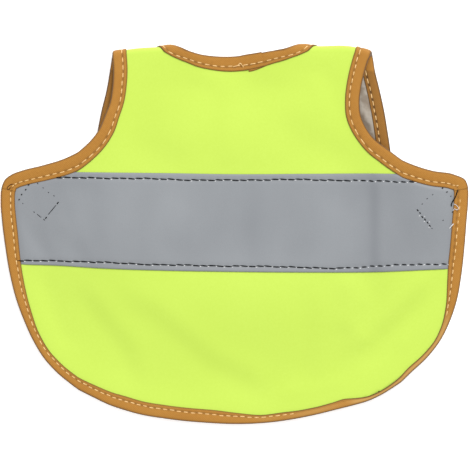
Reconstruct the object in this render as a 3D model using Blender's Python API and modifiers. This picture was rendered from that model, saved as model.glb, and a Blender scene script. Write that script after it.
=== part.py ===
"""Dog vest of bright yellow cloth, laid flat on a table with its back upwards.

The vest is drawn as one flat pattern. It is folded at the shoulders, so that the back lies over the chest.
A point of the pattern has three values in millimetres: x across the vest, run along the cloth from the
shoulder fold (below 0 on the back, above FOLD_RUN on the chest), and out from the inside face of the cloth.
"""

import math

import bpy
import numpy as np
from mathutils import Vector
from mathutils.geometry import delaunay_2d_cdt

MM = 0.001

# Cloth and the gaps that keep the pieces apart
CLOTH = 1.0
GAP = 0.3
LAYER = CLOTH + GAP
MESH_STEP = 7.5
MESH_CLEAR = 0.42 * MESH_STEP
MESH_REACH = 125.0
EDGE_SAMPLES = 6000
STATION_SAMPLES = 8000
SEEN_EDGE_SKIP = 12
TAPE_STEP = 5.0
TAPE_STEP_FINE = 4.0

# Edge binding, a tape folded over the raw edge
BINDING_WIDTH = 7.2
BINDING_OUTER = LAYER + CLOTH
BINDING_ROUND = 0.9
JOIN_OVERLAP = 7.7
JOIN_RISE = 6.0
DIRECTION_SPAN = 5.0
LEAST_CROSSING = 0.5

# Shoulder fold
FOLD_RADIUS = 1.6
FOLD_RUN = math.pi * FOLD_RADIUS
FOLD_PARTS = 6
SEAM_RUN = FOLD_RUN + 4.0
CHEST_RAISED = BINDING_OUTER
BACK_AT_FOLD = CHEST_RAISED + 2.0 * FOLD_RADIUS
NECK_SAG = 2.5
NECK_SAG_X = -1.6
NECK_SAG_FROM = 2.0
NECK_SAG_TO = 21.0
MIDDLE_X = 3.8
SEAM_LINES_X = ((-90.0, -20.0), (20.0, 100.0))

# How the laid cloth eases, in mm from what lifts it: a distance where it starts to fall, and one where it has
TAPE_EASE = (BINDING_WIDTH + 1.0, BINDING_WIDTH + 8.0)
PATCH_EASE = (1.0, 8.0)
CHEST_FOLD_EASE = (8.0, 18.0)
BACK_FOLD_EASE = (4.0, 18.0)
BESIDE_CHEST_EASE = (3.0, 26.0)
NECK_HOLE_EASE = (3.0, 32.0)
RIDGE_LESS_AT_TAPE = 0.7

# Hook and loop patches
PATCH_LONG = 20.0
PATCH_SHORT = 16.0

# Shoulder fold line: columns x, y
FOLD_ROWS = (
    (-80.0, 86.4),
    (-62.3, 90.1),
    (-55.0, 91.9),
    (-38.7, 93.4),
    (-20.0, 93.9),
    (20.0, 94.2),
    (43.1, 94.1),
    (62.3, 93.2),
    (70.5, 90.1),
    (86.0, 86.0),
)

# Outline of the back, at the outer edge of its binding: columns y, left x, right x
BACK_ROWS = (
    (89.0, -62.2, 68.6),
    (84.0, -61.9, 67.0),
    (74.7, -62.4, 64.9),
    (67.6, -63.6, 64.2),
    (60.6, -66.3, 64.9),
    (54.7, -68.7, 67.4),
    (49.1, -72.6, 71.5),
    (44.2, -77.4, 77.7),
    (39.1, -85.6, 84.1),
    (35.5, -96.7, 91.0),
    (32.7, -107.9, 100.3),
    (30.8, -113.1, 110.5),
    (28.1, -116.9, 117.4),
    (23.5, -119.1, 119.6),
    (17.3, -119.9, 120.1),
    (7.1, -119.3, 119.2),
    (-5.8, -117.9, 118.2),
    (-21.2, -115.4, 116.4),
    (-34.0, -112.1, 114.1),
    (-44.2, -108.2, 110.7),
    (-54.5, -103.3, 105.4),
    (-63.2, -97.9, 98.5),
    (-70.9, -91.0, 90.8),
    (-77.6, -82.8, 83.1),
    (-83.2, -73.1, 73.8),
    (-87.8, -63.3, 60.8),
    (-91.7, -51.0, 45.4),
    (-94.5, -35.6, 32.1),
    (-96.4, -17.7, 19.2),
    (-97.3, 2.8, 2.8),
)

# Outline of the chest, at the outer edge of its binding: columns y, left x, right x
CHEST_ROWS = (
    (84.0, -63.4, 72.3),
    (73.7, -65.1, 74.5),
    (63.5, -67.6, 76.7),
    (52.7, -69.7, 78.4),
    (42.9, -71.3, 79.9),
    (32.7, -72.8, 81.0),
    (22.4, -73.6, 81.3),
    (11.2, -72.6, 80.3),
    (-0.6, -68.5, 76.2),
    (-11.9, -59.7, 67.4),
    (-22.2, -45.4, 53.1),
    (-28.8, -26.9, 34.6),
    (-31.4, 3.8, 3.8),
)

# Outer edge of the cloth half-way round the shoulder fold: left x, right x
FOLD_EDGE = (-62.5, 70.6)

# Neck hole, at the edge of its binding: columns run, left x, right x
NECK_ROWS = (
    (-3.0, -4.4, -4.4),
    (-2.6, -12.1, 3.3),
    (-1.5, -18.7, 11.0),
    (0.0, -23.3, 20.0),
    (1.0, -26.9, 27.5),
    (2.5, -30.8, 32.6),
    (FOLD_RUN, -35.0, 37.2),
    (8.0, -37.6, 40.0),
    (10.6, -38.5, 41.5),
    (19.9, -37.9, 42.1),
    (32.7, -33.1, 38.2),
    (44.0, -22.3, 28.5),
    (50.1, -9.0, 15.1),
    (51.6, 2.8, 2.8),
)
NECK_JOIN_X = 14.1

NECK_JOIN_RUN = -1.2

# Bound corners of the wings, where the binding of the hem ends: x and y of each
LEFT_CORNER = (-119.8, 18.5)
RIGHT_CORNER = (120.0, 17.5)

# Reflective band: the step of its drawn outline, then columns x, bottom y, top y
BAND_STEP = 6.1
BAND_ROWS = (
    (-122.0, -14.6, 32.2),
    (-110.0, -15.3, 32.1),
    (-89.5, -16.0, 32.0),
    (-69.0, -17.3, 31.8),
    (-38.2, -18.4, 31.5),
    (0.8, -19.1, 30.9),
    (38.7, -19.4, 31.1),
    (74.6, -19.2, 31.2),
    (100.3, -18.1, 30.5),
    (122.0, -17.2, 29.6),
)

# Width of the hem binding on top: columns share of the hem from the left corner, width
HEM_WIDTH_ROWS = (
    (0.00, 6.9),
    (0.14, 6.7),
    (0.24, 6.0),
    (0.50, 6.0),
    (0.61, 4.2),
    (0.67, 3.4),
    (0.72, 2.6),
    (0.82, 2.5),
    (0.88, 5.6),
    (0.93, 6.9),
    (1.00, 6.9),
)

# Patches: name, side of the vest, centre x, centre y, turn in degrees
PATCH_ROWS = (
    ("hook_patch_left", "back", -99.7, 17.4, -39.0),
    ("hook_patch_right", "back", 104.3, 13.2, 40.5),
    ("loop_patch_left", "chest", -38.0, 2.0, 39.0),
    ("loop_patch_right", "chest", 45.6, 2.0, -39.0),
)

# Largest soft ridges of the laid back: columns start x, start y, end x, end y, half width, height
RIDGE_ROWS = (
    (-42.0, -26.0, -8.0, -52.0, 10.0, 0.9),
    (-8.0, -52.0, 34.0, -76.0, 11.0, 1.1),
    (-66.0, -26.0, -40.0, -58.0, 9.0, 1.0),
    (-40.0, -58.0, -18.0, -82.0, 9.0, 0.8),
    (-90.0, -38.0, -64.0, -72.0, 9.0, 0.8),
    (86.0, -24.0, 54.0, -46.0, 9.0, 0.9),
    (104.0, -38.0, 80.0, -64.0, 8.0, 0.9),
    (44.0, -30.0, 48.0, -66.0, 8.0, 0.6),
)

# Colours: red, green, blue and roughness
YELLOW = (0.68, 0.92, 0.13, 0.75)
GREY_LINING = (0.50, 0.48, 0.42, 0.85)
SILVER = (0.34, 0.36, 0.37, 0.42)
MUSTARD = (0.50, 0.25, 0.056, 0.8)
PALE_TAPE = (0.60, 0.68, 0.30, 0.9)


def ramp(value, start, end):
    """A smooth rise from 0 at start to 1 at end."""
    share = np.clip((value - start) / (end - start), 0.0, 1.0)
    return share * share * (3.0 - 2.0 * share)


def column(rows, index):
    return np.array([row[index] for row in rows])


def slopes(places, values):
    """The slope of a smooth curve at each of its points, weighted by the spans on both sides."""
    spans = np.diff(places)
    steps = np.diff(values, axis=0) / spans.reshape((-1,) + (1,) * (values.ndim - 1))
    inner = [
        (steps[i - 1] * spans[i] + steps[i] * spans[i - 1]) / (spans[i - 1] + spans[i])
        for i in range(1, len(spans))
    ]
    return np.array([steps[0]] + inner + [steps[-1]])


def smooth_between(place, places, values):
    """Reads a table with smooth steps between its rows."""
    place = np.clip(place, places[0], places[-1])
    row = np.clip(np.searchsorted(places, place) - 1, 0, len(places) - 2)
    slope = slopes(places, values)
    span = places[row + 1] - places[row]
    share = (place - places[row]) / span
    if values.ndim > 1:
        share = share[:, None]
        span = span[:, None]
    rise = share * share * (3.0 - 2.0 * share)
    start_pull = span * slope[row] * share * (1.0 - share) ** 2
    end_pull = span * slope[row + 1] * share**2 * (1.0 - share)
    return values[row] * (1.0 - rise) + values[row + 1] * rise + start_pull - end_pull


def fold_line(x):
    return smooth_between(x, column(FOLD_ROWS, 0), column(FOLD_ROWS, 1))


def on_back(x, y):
    """The place in the pattern of a point seen on the back."""
    x = np.asarray(x, float)
    return np.stack([x, y - fold_line(x)], axis=-1)


def on_chest(x, y):
    """The place in the pattern of a point of the chest, under the back."""
    x = np.asarray(x, float)
    return np.stack([x, FOLD_RUN + fold_line(x) - y], axis=-1)


class Edge:
    """A closed edge of the pattern, with the cloth on the left of its direction."""

    def __init__(self, corners):
        corners = np.vstack([corners[-3:], corners, corners[:3]])
        places = np.concatenate([[0.0], np.cumsum(np.linalg.norm(np.diff(corners, axis=0), axis=1))])
        first, last = places[3], places[-3]
        dense = smooth_between(np.linspace(first, last, EDGE_SAMPLES), places, corners)
        self.points = dense
        self.along = np.concatenate([[0.0], np.cumsum(np.linalg.norm(np.diff(dense, axis=0), axis=1))])
        self.length = self.along[-1]

    def at(self, along):
        along = np.mod(along, self.length)
        return np.stack([np.interp(along, self.along, self.points[:, i]) for i in (0, 1)], axis=-1)

    def inward(self, along):
        """The direction into the cloth. It follows the fold line where the edge passes round a shoulder."""
        ahead = self.at(along + DIRECTION_SPAN) - self.at(along - DIRECTION_SPAN)
        side = np.stack([-ahead[..., 1], ahead[..., 0]], axis=-1)
        side /= np.linalg.norm(side, axis=-1, keepdims=True)
        run = self.at(along)[..., 1]
        off_fold = np.maximum(-run, run - FOLD_RUN)
        share = (1.0 - ramp(off_fold, 0.0, DIRECTION_SPAN))[..., None]
        level = np.stack([np.sign(side[..., 0]), np.zeros_like(run)], axis=-1)
        turned = side * (1.0 - share) + level * share
        turned /= np.linalg.norm(turned, axis=-1, keepdims=True)
        slant = 1.0 / np.maximum((side * turned).sum(axis=-1), LEAST_CROSSING)
        return turned, slant

    def inset(self, along, distance):
        """Points this far in from the edge. The gaps near it stay true where the direction is slanted."""
        turned, slant = self.inward(along)
        distance = np.asarray(distance, float)
        reach = distance + np.clip(distance, -LAYER, LAYER) * (slant - 1.0)
        return self.at(along) + turned * reach[..., None]

    def nearest(self, point):
        return self.along[np.argmin(np.linalg.norm(self.points - point, axis=1))]

    def stations(self, start, end, step):
        """Places from start to end, with one at each bend line of the shoulder fold."""
        dense = np.linspace(start, end, STATION_SAMPLES)
        run = self.at(dense)[:, 1]
        knots = [start, end]
        for part in range(FOLD_PARTS + 1):
            level = run - FOLD_RUN * part / FOLD_PARTS
            crossed = np.nonzero(level[:-1] * level[1:] < 0.0)[0]
            share = level[crossed] / (level[crossed] - level[crossed + 1])
            knots.extend(dense[crossed] + share * (dense[1] - dense[0]))
        knots = sorted(knots)
        places = []
        for first, last in zip(knots[:-1], knots[1:]):
            count = max(1, math.ceil((last - first) / step))
            places.extend(np.linspace(first, last, count + 1)[:-1])
        return np.array(places + [end])


def distance_to(points, line):
    """The distance of each point from a line of many corners."""
    start = line[:-1]
    span = line[1:] - start
    size = np.maximum((span**2).sum(axis=1), 1e-9)
    offset = points[:, None, :] - start[None, :, :]
    share = np.clip((offset * span).sum(axis=2) / size, 0.0, 1.0)
    gap = offset - share[..., None] * span
    return np.sqrt((gap**2).sum(axis=2).min(axis=1))


def inside(points, loop):
    """True for each point within a closed loop."""
    following = np.roll(loop, -1, axis=0)
    x, y = points[:, 0, None], points[:, 1, None]
    crosses = (loop[:, 1] > y) != (following[:, 1] > y)
    rise = np.where(following[:, 1] == loop[:, 1], 1e-9, following[:, 1] - loop[:, 1])
    at_x = loop[:, 0] + (y - loop[:, 1]) / rise * (following[:, 0] - loop[:, 0])
    return (crosses & (x < at_x)).sum(axis=1) % 2 == 1


def outer_corners():
    """The outer edge of the whole pattern: down the back's left side, up its right, then round the chest."""
    y, left, right = (column(BACK_ROWS, i) for i in range(3))
    chest_y, chest_left, chest_right = (column(CHEST_ROWS, i) for i in range(3))
    half_way = FOLD_RUN / 2.0
    return np.vstack(
        [
            on_back(left, y),
            on_back(right, y)[-2::-1],
            [(FOLD_EDGE[1], half_way)],
            on_chest(chest_right, chest_y),
            on_chest(chest_left, chest_y)[-2::-1],
            [(FOLD_EDGE[0], half_way)],
        ]
    )


def neck_corners():
    """The neck edge: to the left along the back, over the left shoulder, round the chest and back."""
    run, left, right = (column(NECK_ROWS, i) for i in range(3))
    return np.vstack([np.stack([left, run], axis=1), np.stack([right, run], axis=1)[-2:0:-1]])


OUTER = Edge(outer_corners())
NECK = Edge(neck_corners())


def seen_edges(edge, of_back):
    """The parts of an edge that lie on one layer, as lines in the plane of the table."""
    dense = edge.points[::SEEN_EDGE_SKIP]
    run = dense[:, 1]
    kept = run <= 0.0 if of_back else run >= FOLD_RUN
    turned = run if of_back else FOLD_RUN - run
    flat = np.stack([dense[:, 0], fold_line(dense[:, 0]) + turned], axis=1)
    lines = []
    begun = []
    for point, keep in zip(flat, kept):
        if keep:
            begun.append(point)
        elif begun:
            lines.append(np.array(begun))
            begun = []
    if begun:
        lines.append(np.array(begun))
    return lines


BACK_EDGES = seen_edges(OUTER, True) + seen_edges(NECK, True)
CHEST_SIDE = max(seen_edges(OUTER, False), key=len)
CHEST_NECK = max(seen_edges(NECK, False), key=len)


def nearest_of(points, lines):
    return np.min([distance_to(points, line) for line in lines if len(line) > 1], axis=0)


def patch_distance(points, row):
    """How far each point lies outside a patch."""
    _, _, centre_x, centre_y, turn = row
    angle = math.radians(turn)
    across = points - (centre_x, centre_y)
    long_way = across[:, 0] * math.cos(angle) + across[:, 1] * math.sin(angle)
    short_way = across[:, 1] * math.cos(angle) - across[:, 0] * math.sin(angle)
    beyond = np.stack([np.abs(long_way) - PATCH_LONG / 2.0, np.abs(short_way) - PATCH_SHORT / 2.0])
    return np.linalg.norm(np.maximum(beyond, 0.0), axis=0)


def patch_lift(points, side):
    shares = [1.0 - ramp(patch_distance(points, row), *PATCH_EASE) for row in PATCH_ROWS if row[1] == side]
    return np.max(shares, axis=0)


def chest_height(x, y):
    """Height of the inside face of the chest, which lies face up. Its middle rests on the table."""
    points = np.stack([x, y], axis=1)
    edge = 1.0 - ramp(nearest_of(points, [CHEST_SIDE, CHEST_NECK]), *TAPE_EASE)
    fold = 1.0 - ramp(fold_line(x) - y, *CHEST_FOLD_EASE)
    outside = ~inside(points, CHEST_SIDE) | inside(points, CHEST_NECK)
    raised = np.maximum.reduce([edge, fold, patch_lift(points, "chest"), outside.astype(float)])
    return CLOTH + (CHEST_RAISED - CLOTH) * raised


def ridges(points):
    height = np.zeros(len(points))
    for start_x, start_y, end_x, end_y, half_width, rise in RIDGE_ROWS:
        line = np.array([(start_x, start_y), (end_x, end_y)])
        height = np.maximum(height, rise * (1.0 - ramp(distance_to(points, line), 0.0, half_width)))
    return height


def back_height(x, y):
    """Height of the inside face of the back: on the chest where that lies under it, else on the table."""
    points = np.stack([x, y], axis=1)
    beside = np.where(inside(points, CHEST_SIDE), 0.0, distance_to(points, CHEST_SIDE))
    in_hole = np.where(inside(points, CHEST_NECK), distance_to(points, CHEST_NECK), 0.0)
    carried = (1.0 - ramp(beside, *BESIDE_CHEST_EASE)) * (1.0 - ramp(in_hole, *NECK_HOLE_EASE))
    edge = 1.0 - ramp(nearest_of(points, BACK_EDGES), *TAPE_EASE)
    lift = np.maximum(edge, patch_lift(points, "back"))
    height = (chest_height(x, y) + 2.0 * FOLD_RADIUS - LAYER) * carried + LAYER * lift
    height += ridges(points) * (1.0 - RIDGE_LESS_AT_TAPE * edge)
    off_middle = np.abs(x - NECK_SAG_X)
    at_fold = BACK_AT_FOLD - NECK_SAG * (1.0 - ramp(off_middle, NECK_SAG_FROM, NECK_SAG_TO))
    near_fold = 1.0 - ramp(fold_line(x) - y, *BACK_FOLD_EASE)
    return height * (1.0 - near_fold) + at_fold * near_fold


def lay(flat):
    """Folds the pattern at the shoulders and lays it on the table."""
    x, run, out = flat.T
    line = fold_line(x)
    back_y = line + np.minimum(run, 0.0)
    chest_y = line - np.maximum(run - FOLD_RUN, 0.0)
    back = np.stack([x, back_y, back_height(x, back_y) + out], axis=1)
    chest = np.stack([x, chest_y, chest_height(x, chest_y) - out], axis=1)
    turn = np.clip(run, 0.0, FOLD_RUN) / FOLD_RADIUS
    middle = CHEST_RAISED + FOLD_RADIUS
    reach = FOLD_RADIUS + out
    bend = np.stack([x, line + reach * np.sin(turn), middle + reach * np.cos(turn)], axis=1)
    where = np.stack([run <= 0.0, run >= FOLD_RUN], axis=1)
    return np.where(where[:, :1], back, np.where(where[:, 1:], chest, bend))


def clear_scene():
    for thing in list(bpy.data.objects):
        bpy.data.objects.remove(thing, do_unlink=True)


def new_collection(name):
    collection = bpy.data.collections.new(name)
    bpy.context.scene.collection.children.link(collection)
    return collection


def new_material(name, colour):
    material = bpy.data.materials.new(name)
    material.use_nodes = True
    shader = material.node_tree.nodes["Principled BSDF"]
    shader.inputs["Base Color"].default_value = colour[:3] + (1.0,)
    shader.inputs["Roughness"].default_value = colour[3]
    shader.inputs["Metallic"].default_value = 0.0
    material.diffuse_color = colour[:3] + (1.0,)
    return material


def add_piece(name, points, faces, material, thickness=0.0):
    """Makes a piece flat, in the pattern, and then lays it."""
    mesh = bpy.data.meshes.new(name)
    mesh.from_pydata(points.tolist(), [], faces)
    piece = bpy.data.objects.new(name, mesh)
    VEST.objects.link(piece)
    if thickness:
        solidify = piece.modifiers.new("thickness", "SOLIDIFY")
        solidify.thickness = thickness
        solidify.offset = 1.0
        solidify.use_even_offset = True
        graph = bpy.context.evaluated_depsgraph_get()
        piece.data = bpy.data.meshes.new_from_object(piece.evaluated_get(graph))
        piece.data.name = name
        piece.modifiers.clear()
    flat = np.array([vertex.co for vertex in piece.data.vertices])
    laid = lay(flat) * MM
    piece.data.vertices.foreach_set("co", laid.astype(np.float32).ravel())
    piece.data.materials.append(material)
    piece.data.shade_smooth()
    piece.data.update()
    return piece


def tape_section(top_width, bottom_width, spread):
    """A tape folded over an edge, seen from its end: distance from the edge, then out from the cloth."""
    top = LAYER + spread
    bottom = -GAP - spread
    rounded = BINDING_ROUND - spread
    return [
        (top_width, top),
        (top_width, top + CLOTH),
        (rounded, top + CLOTH),
        (BINDING_ROUND / 4.0 - spread, top + CLOTH - GAP),
        (-spread, top),
        (-spread, bottom),
        (BINDING_ROUND / 4.0 - spread, bottom - CLOTH + GAP),
        (rounded, bottom - CLOTH),
        (bottom_width, bottom - CLOTH),
        (bottom_width, bottom),
        (CLOTH - spread, bottom),
        (CLOTH - spread, top),
    ]


def add_binding(name, edge, places, top_widths, spreads, material):
    """A loft of the folded tape along an edge."""
    points = []
    for place, top_width, spread in zip(places, top_widths, spreads):
        for distance, out in tape_section(top_width, BINDING_WIDTH, spread):
            across = edge.inset(place, distance)
            points.append((across[0], across[1], out))
    around = len(tape_section(1.0, 1.0, 0.0))
    faces = [list(range(around))[::-1]]
    for row in range(len(places) - 1):
        base = row * around
        for i in range(around):
            following = (i + 1) % around
            faces.append([base + i, base + following, base + around + following, base + around + i])
    last = (len(places) - 1) * around
    faces.append([last + i for i in range(around)])
    return add_piece(name, np.array(points), faces, material)


def patch_corners(row):
    """The corners of a patch, in the pattern."""
    _, side, centre_x, centre_y, turn = row
    angle = math.radians(turn)
    corners = []
    for long_side, short_side in ((-1, -1), (1, -1), (1, 1), (-1, 1)):
        long_way = long_side * PATCH_LONG / 2.0
        short_way = short_side * PATCH_SHORT / 2.0
        x = centre_x + long_way * math.cos(angle) - short_way * math.sin(angle)
        y = centre_y + long_way * math.sin(angle) + short_way * math.cos(angle)
        corners.append(on_back(x, y) if side == "back" else on_chest(x, y))
    return np.array(corners)


def cut_pattern(outer_places, neck_places):
    """Cuts the whole pattern into small triangles that keep to every outline drawn on it."""
    points = []
    edges = []

    def draw(line, closed):
        first = len(points)
        points.extend(map(tuple, line))
        count = len(line)
        edges.extend((first + i, first + (i + 1) % count) for i in range(count if closed else count - 1))

    cloth_edges = [OUTER.inset(outer_places, np.full(len(outer_places), LAYER))]
    cloth_edges.append(NECK.inset(neck_places, np.full(len(neck_places), LAYER)))
    core_edges = [OUTER.inset(outer_places, np.full(len(outer_places), BINDING_WIDTH + GAP))]
    core_edges.append(NECK.inset(neck_places, np.full(len(neck_places), BINDING_WIDTH + GAP)))
    for loop in cloth_edges + core_edges:
        draw(loop, True)
    outline = np.array(points)
    for part in range(FOLD_PARTS + 1):
        level = FOLD_RUN * part / FOLD_PARTS
        on_level = outline[np.abs(outline[:, 1] - level) < 0.02]
        for side in (-1.0, 1.0):
            across = np.sort(on_level[(on_level[:, 0] - MIDDLE_X) * side > 0.0][:, 0])
            between = np.linspace(across[1], across[2], 4)[1:-1]
            row = np.sort(np.concatenate([across, between]))
            draw(np.stack([row, np.full(len(row), level)], axis=1), False)
    for seam in (SEAM_RUN - GAP / 2.0, SEAM_RUN + GAP / 2.0):
        for first_x, last_x in SEAM_LINES_X:
            draw(np.array([(first_x, seam), (last_x, seam)]), False)
    across = np.arange(column(BAND_ROWS, 0)[0], column(BAND_ROWS, 0)[-1] + 0.1, BAND_STEP)
    for side in (1, 2):
        draw(on_back(across, smooth_between(across, column(BAND_ROWS, 0), column(BAND_ROWS, side))), False)
    for row in PATCH_ROWS:
        draw(patch_corners(row), True)

    drawn = np.array(points)
    ends = np.array(edges)
    free = []
    rows = np.arange(drawn[:, 1].min(), drawn[:, 1].max(), MESH_STEP * math.sqrt(3.0) / 2.0)
    for count, run in enumerate(rows):
        across = np.arange(-MESH_REACH + MESH_STEP / 2.0 * (count % 2), MESH_REACH, MESH_STEP)
        free.extend((x, run) for x in across)
    free = np.array(free)
    nearest = np.full(len(free), np.inf)
    for first, last in ends:
        nearest = np.minimum(nearest, distance_to(free, drawn[[first, last]]))
    kept = inside(free, core_edges[0]) & ~inside(free, core_edges[1]) & (nearest > MESH_CLEAR)
    points.extend(map(tuple, free[kept]))

    made = delaunay_2d_cdt([Vector(point) for point in points], edges, [], 0, 1e-4)
    corners = np.array([tuple(point) for point in made[0]])
    triangles = np.array(made[2])
    centres = corners[triangles].mean(axis=1)
    in_cloth = inside(centres, cloth_edges[0]) & ~inside(centres, cloth_edges[1])
    triangles, centres = triangles[in_cloth], centres[in_cloth]
    in_core = inside(centres, core_edges[0]) & ~inside(centres, core_edges[1])
    return corners, triangles, centres, in_core


def add_cloth(name, chosen, low, material):
    """A piece of the pattern, CLOTH thick, with its lower face this far out from the inside of the vest."""
    used = np.unique(TRIANGLES[chosen])
    index = np.zeros(len(CORNERS), int)
    index[used] = np.arange(len(used))
    points = np.column_stack([CORNERS[used], np.full(len(used), low)])
    return add_piece(name, points, index[TRIANGLES[chosen]].tolist(), material, CLOTH)


def centre_on_origin(pieces):
    """Puts the origin at the middle of the laid vest's footprint, on the table."""
    points = np.array([vertex.co for piece in pieces for vertex in piece.data.vertices])
    low, high = points.min(axis=0), points.max(axis=0)
    shift = Vector((-(low[0] + high[0]) / 2.0, -(low[1] + high[1]) / 2.0, -low[2]))
    for piece in pieces:
        for vertex in piece.data.vertices:
            vertex.co += shift
        piece.data.update()


clear_scene()
VEST = new_collection("dog_vest")
yellow = new_material("yellow_cloth", YELLOW)
lining_grey = new_material("grey_lining", GREY_LINING)
silver = new_material("reflective_silver", SILVER)
mustard = new_material("mustard_tape", MUSTARD)
pale_tape = new_material("hook_and_loop_tape", PALE_TAPE)

# Places along the edges: the hem from the left wing to the right, then the rest of the outer edge
left_corner = OUTER.nearest(on_back(*LEFT_CORNER))
right_corner = OUTER.nearest(on_back(*RIGHT_CORNER))
hem_places = OUTER.stations(left_corner + GAP / 2.0, right_corner - GAP / 2.0, TAPE_STEP)
side_places = OUTER.stations(right_corner + GAP / 2.0, OUTER.length + left_corner - GAP / 2.0, TAPE_STEP)
neck_start = NECK.nearest((NECK_JOIN_X, NECK_JOIN_RUN))
neck_places = NECK.stations(neck_start, neck_start + NECK.length, TAPE_STEP_FINE)

outer_places = np.concatenate([hem_places[1:-1], side_places])
CORNERS, TRIANGLES, CENTRES, IN_CORE = cut_pattern(outer_places, neck_places[:-1])

# Back panel and chest panel: two pieces of cloth, seamed a little below the shoulder fold
back_side = CENTRES[:, 1] < SEAM_RUN - GAP / 2.0
chest_side = CENTRES[:, 1] > SEAM_RUN + GAP / 2.0
add_cloth("back_panel", back_side, 0.0, yellow)
add_cloth("chest_panel", chest_side, 0.0, yellow)
add_cloth("chest_lining", chest_side & IN_CORE, -LAYER, lining_grey)

# Reflective band: sewn on the back, its ends caught by the bindings
seen_y = fold_line(CENTRES[:, 0]) + CENTRES[:, 1]
band_bottom = smooth_between(CENTRES[:, 0], column(BAND_ROWS, 0), column(BAND_ROWS, 1))
band_top = smooth_between(CENTRES[:, 0], column(BAND_ROWS, 0), column(BAND_ROWS, 2))
in_band = back_side & IN_CORE & (seen_y > band_bottom) & (seen_y < band_top)
add_cloth("reflective_band", in_band, LAYER, silver)

# Hook patches inside the wings and loop patches on the chest, which they fasten to
for patch in PATCH_ROWS:
    on_side = back_side if patch[1] == "back" else chest_side
    low = -LAYER if patch[1] == "back" else LAYER
    add_cloth(patch[0], on_side & IN_CORE & inside(CENTRES, patch_corners(patch)), low, pale_tape)

# Bindings: the hem, the long edge round armholes and chest, and the neck with its overlapped end
hem_share = (hem_places - hem_places[0]) / (hem_places[-1] - hem_places[0])
hem_widths = np.interp(hem_share, column(HEM_WIDTH_ROWS, 0), column(HEM_WIDTH_ROWS, 1))
add_binding("hem_binding", OUTER, hem_places, hem_widths, np.zeros(len(hem_places)), mustard)
side_widths = np.full(len(side_places), BINDING_WIDTH)
add_binding("armhole_chest_binding", OUTER, side_places, side_widths, np.zeros(len(side_places)), mustard)
join_places = np.concatenate([neck_places, neck_places[-1] + np.linspace(0.0, JOIN_OVERLAP, 4)[1:]])
from_start = join_places - neck_start
join_spreads = LAYER * (1.0 - ramp(from_start, JOIN_OVERLAP + GAP, JOIN_OVERLAP + GAP + JOIN_RISE))
join_widths = np.full(len(join_places), BINDING_WIDTH)
add_binding("neck_binding", NECK, join_places, join_widths, join_spreads, mustard)

centre_on_origin(VEST.objects)
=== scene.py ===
import math

import bpy
import numpy as np
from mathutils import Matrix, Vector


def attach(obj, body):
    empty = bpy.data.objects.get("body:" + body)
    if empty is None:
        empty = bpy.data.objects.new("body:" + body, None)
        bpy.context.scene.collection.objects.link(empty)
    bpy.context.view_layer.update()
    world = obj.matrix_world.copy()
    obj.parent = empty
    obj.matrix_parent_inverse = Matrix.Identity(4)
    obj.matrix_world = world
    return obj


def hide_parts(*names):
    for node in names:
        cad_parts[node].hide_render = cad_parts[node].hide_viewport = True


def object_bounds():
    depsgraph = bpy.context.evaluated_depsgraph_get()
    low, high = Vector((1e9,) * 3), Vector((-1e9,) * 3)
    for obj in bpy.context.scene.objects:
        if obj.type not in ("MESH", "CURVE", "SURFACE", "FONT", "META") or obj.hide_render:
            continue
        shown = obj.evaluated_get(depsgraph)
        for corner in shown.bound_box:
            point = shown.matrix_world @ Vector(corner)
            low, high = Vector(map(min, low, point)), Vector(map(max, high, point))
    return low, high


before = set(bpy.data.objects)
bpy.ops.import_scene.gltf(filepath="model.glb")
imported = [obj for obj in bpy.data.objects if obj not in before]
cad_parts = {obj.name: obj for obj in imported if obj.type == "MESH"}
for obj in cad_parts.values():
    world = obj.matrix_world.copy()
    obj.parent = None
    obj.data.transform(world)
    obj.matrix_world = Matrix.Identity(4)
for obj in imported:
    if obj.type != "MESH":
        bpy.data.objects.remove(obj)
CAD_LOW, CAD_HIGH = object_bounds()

# The table and the light.
# The vest lies on a plain white table, seen from straight above. A wide soft lamp stands to the upper
# right, and the room is an even white.

MM = 0.001


class Dye:
    """One value in the recipe of a finish. Sums and products of dyes become Math nodes."""

    def __init__(self, tree, socket=None):
        self.tree = tree
        self.socket = socket

    def node(self, kind, settings=None, sockets=None, out=0):
        made = self.tree.nodes.new(kind)
        for name, value in (settings or {}).items():
            setattr(made, name, value)
        for place, value in (sockets or {}).items():
            if isinstance(value, Dye):
                self.tree.links.new(value.socket, made.inputs[place])
            else:
                made.inputs[place].default_value = value
        return Dye(self.tree, made.outputs[out])

    def math(self, operation, first, second):
        return self.node("ShaderNodeMath", {"operation": operation}, {0: first, 1: second})

    def __add__(self, other):
        return self.math("ADD", self, other)

    def __radd__(self, other):
        return self.math("ADD", other, self)

    def __mul__(self, other):
        return self.math("MULTIPLY", self, other)


def mixed(share, first, second):
    """Two colours stirred together, by a share of the second."""
    return share.node("ShaderNodeMix", {"data_type": "RGBA"}, {0: share, 6: first, 7: second}, out=2)


def between(value, low, high):
    """0 below low, 1 above high."""
    return value.node("ShaderNodeMapRange", {"interpolation_type": "SMOOTHSTEP"}, {0: value, 1: low, 2: high})


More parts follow.
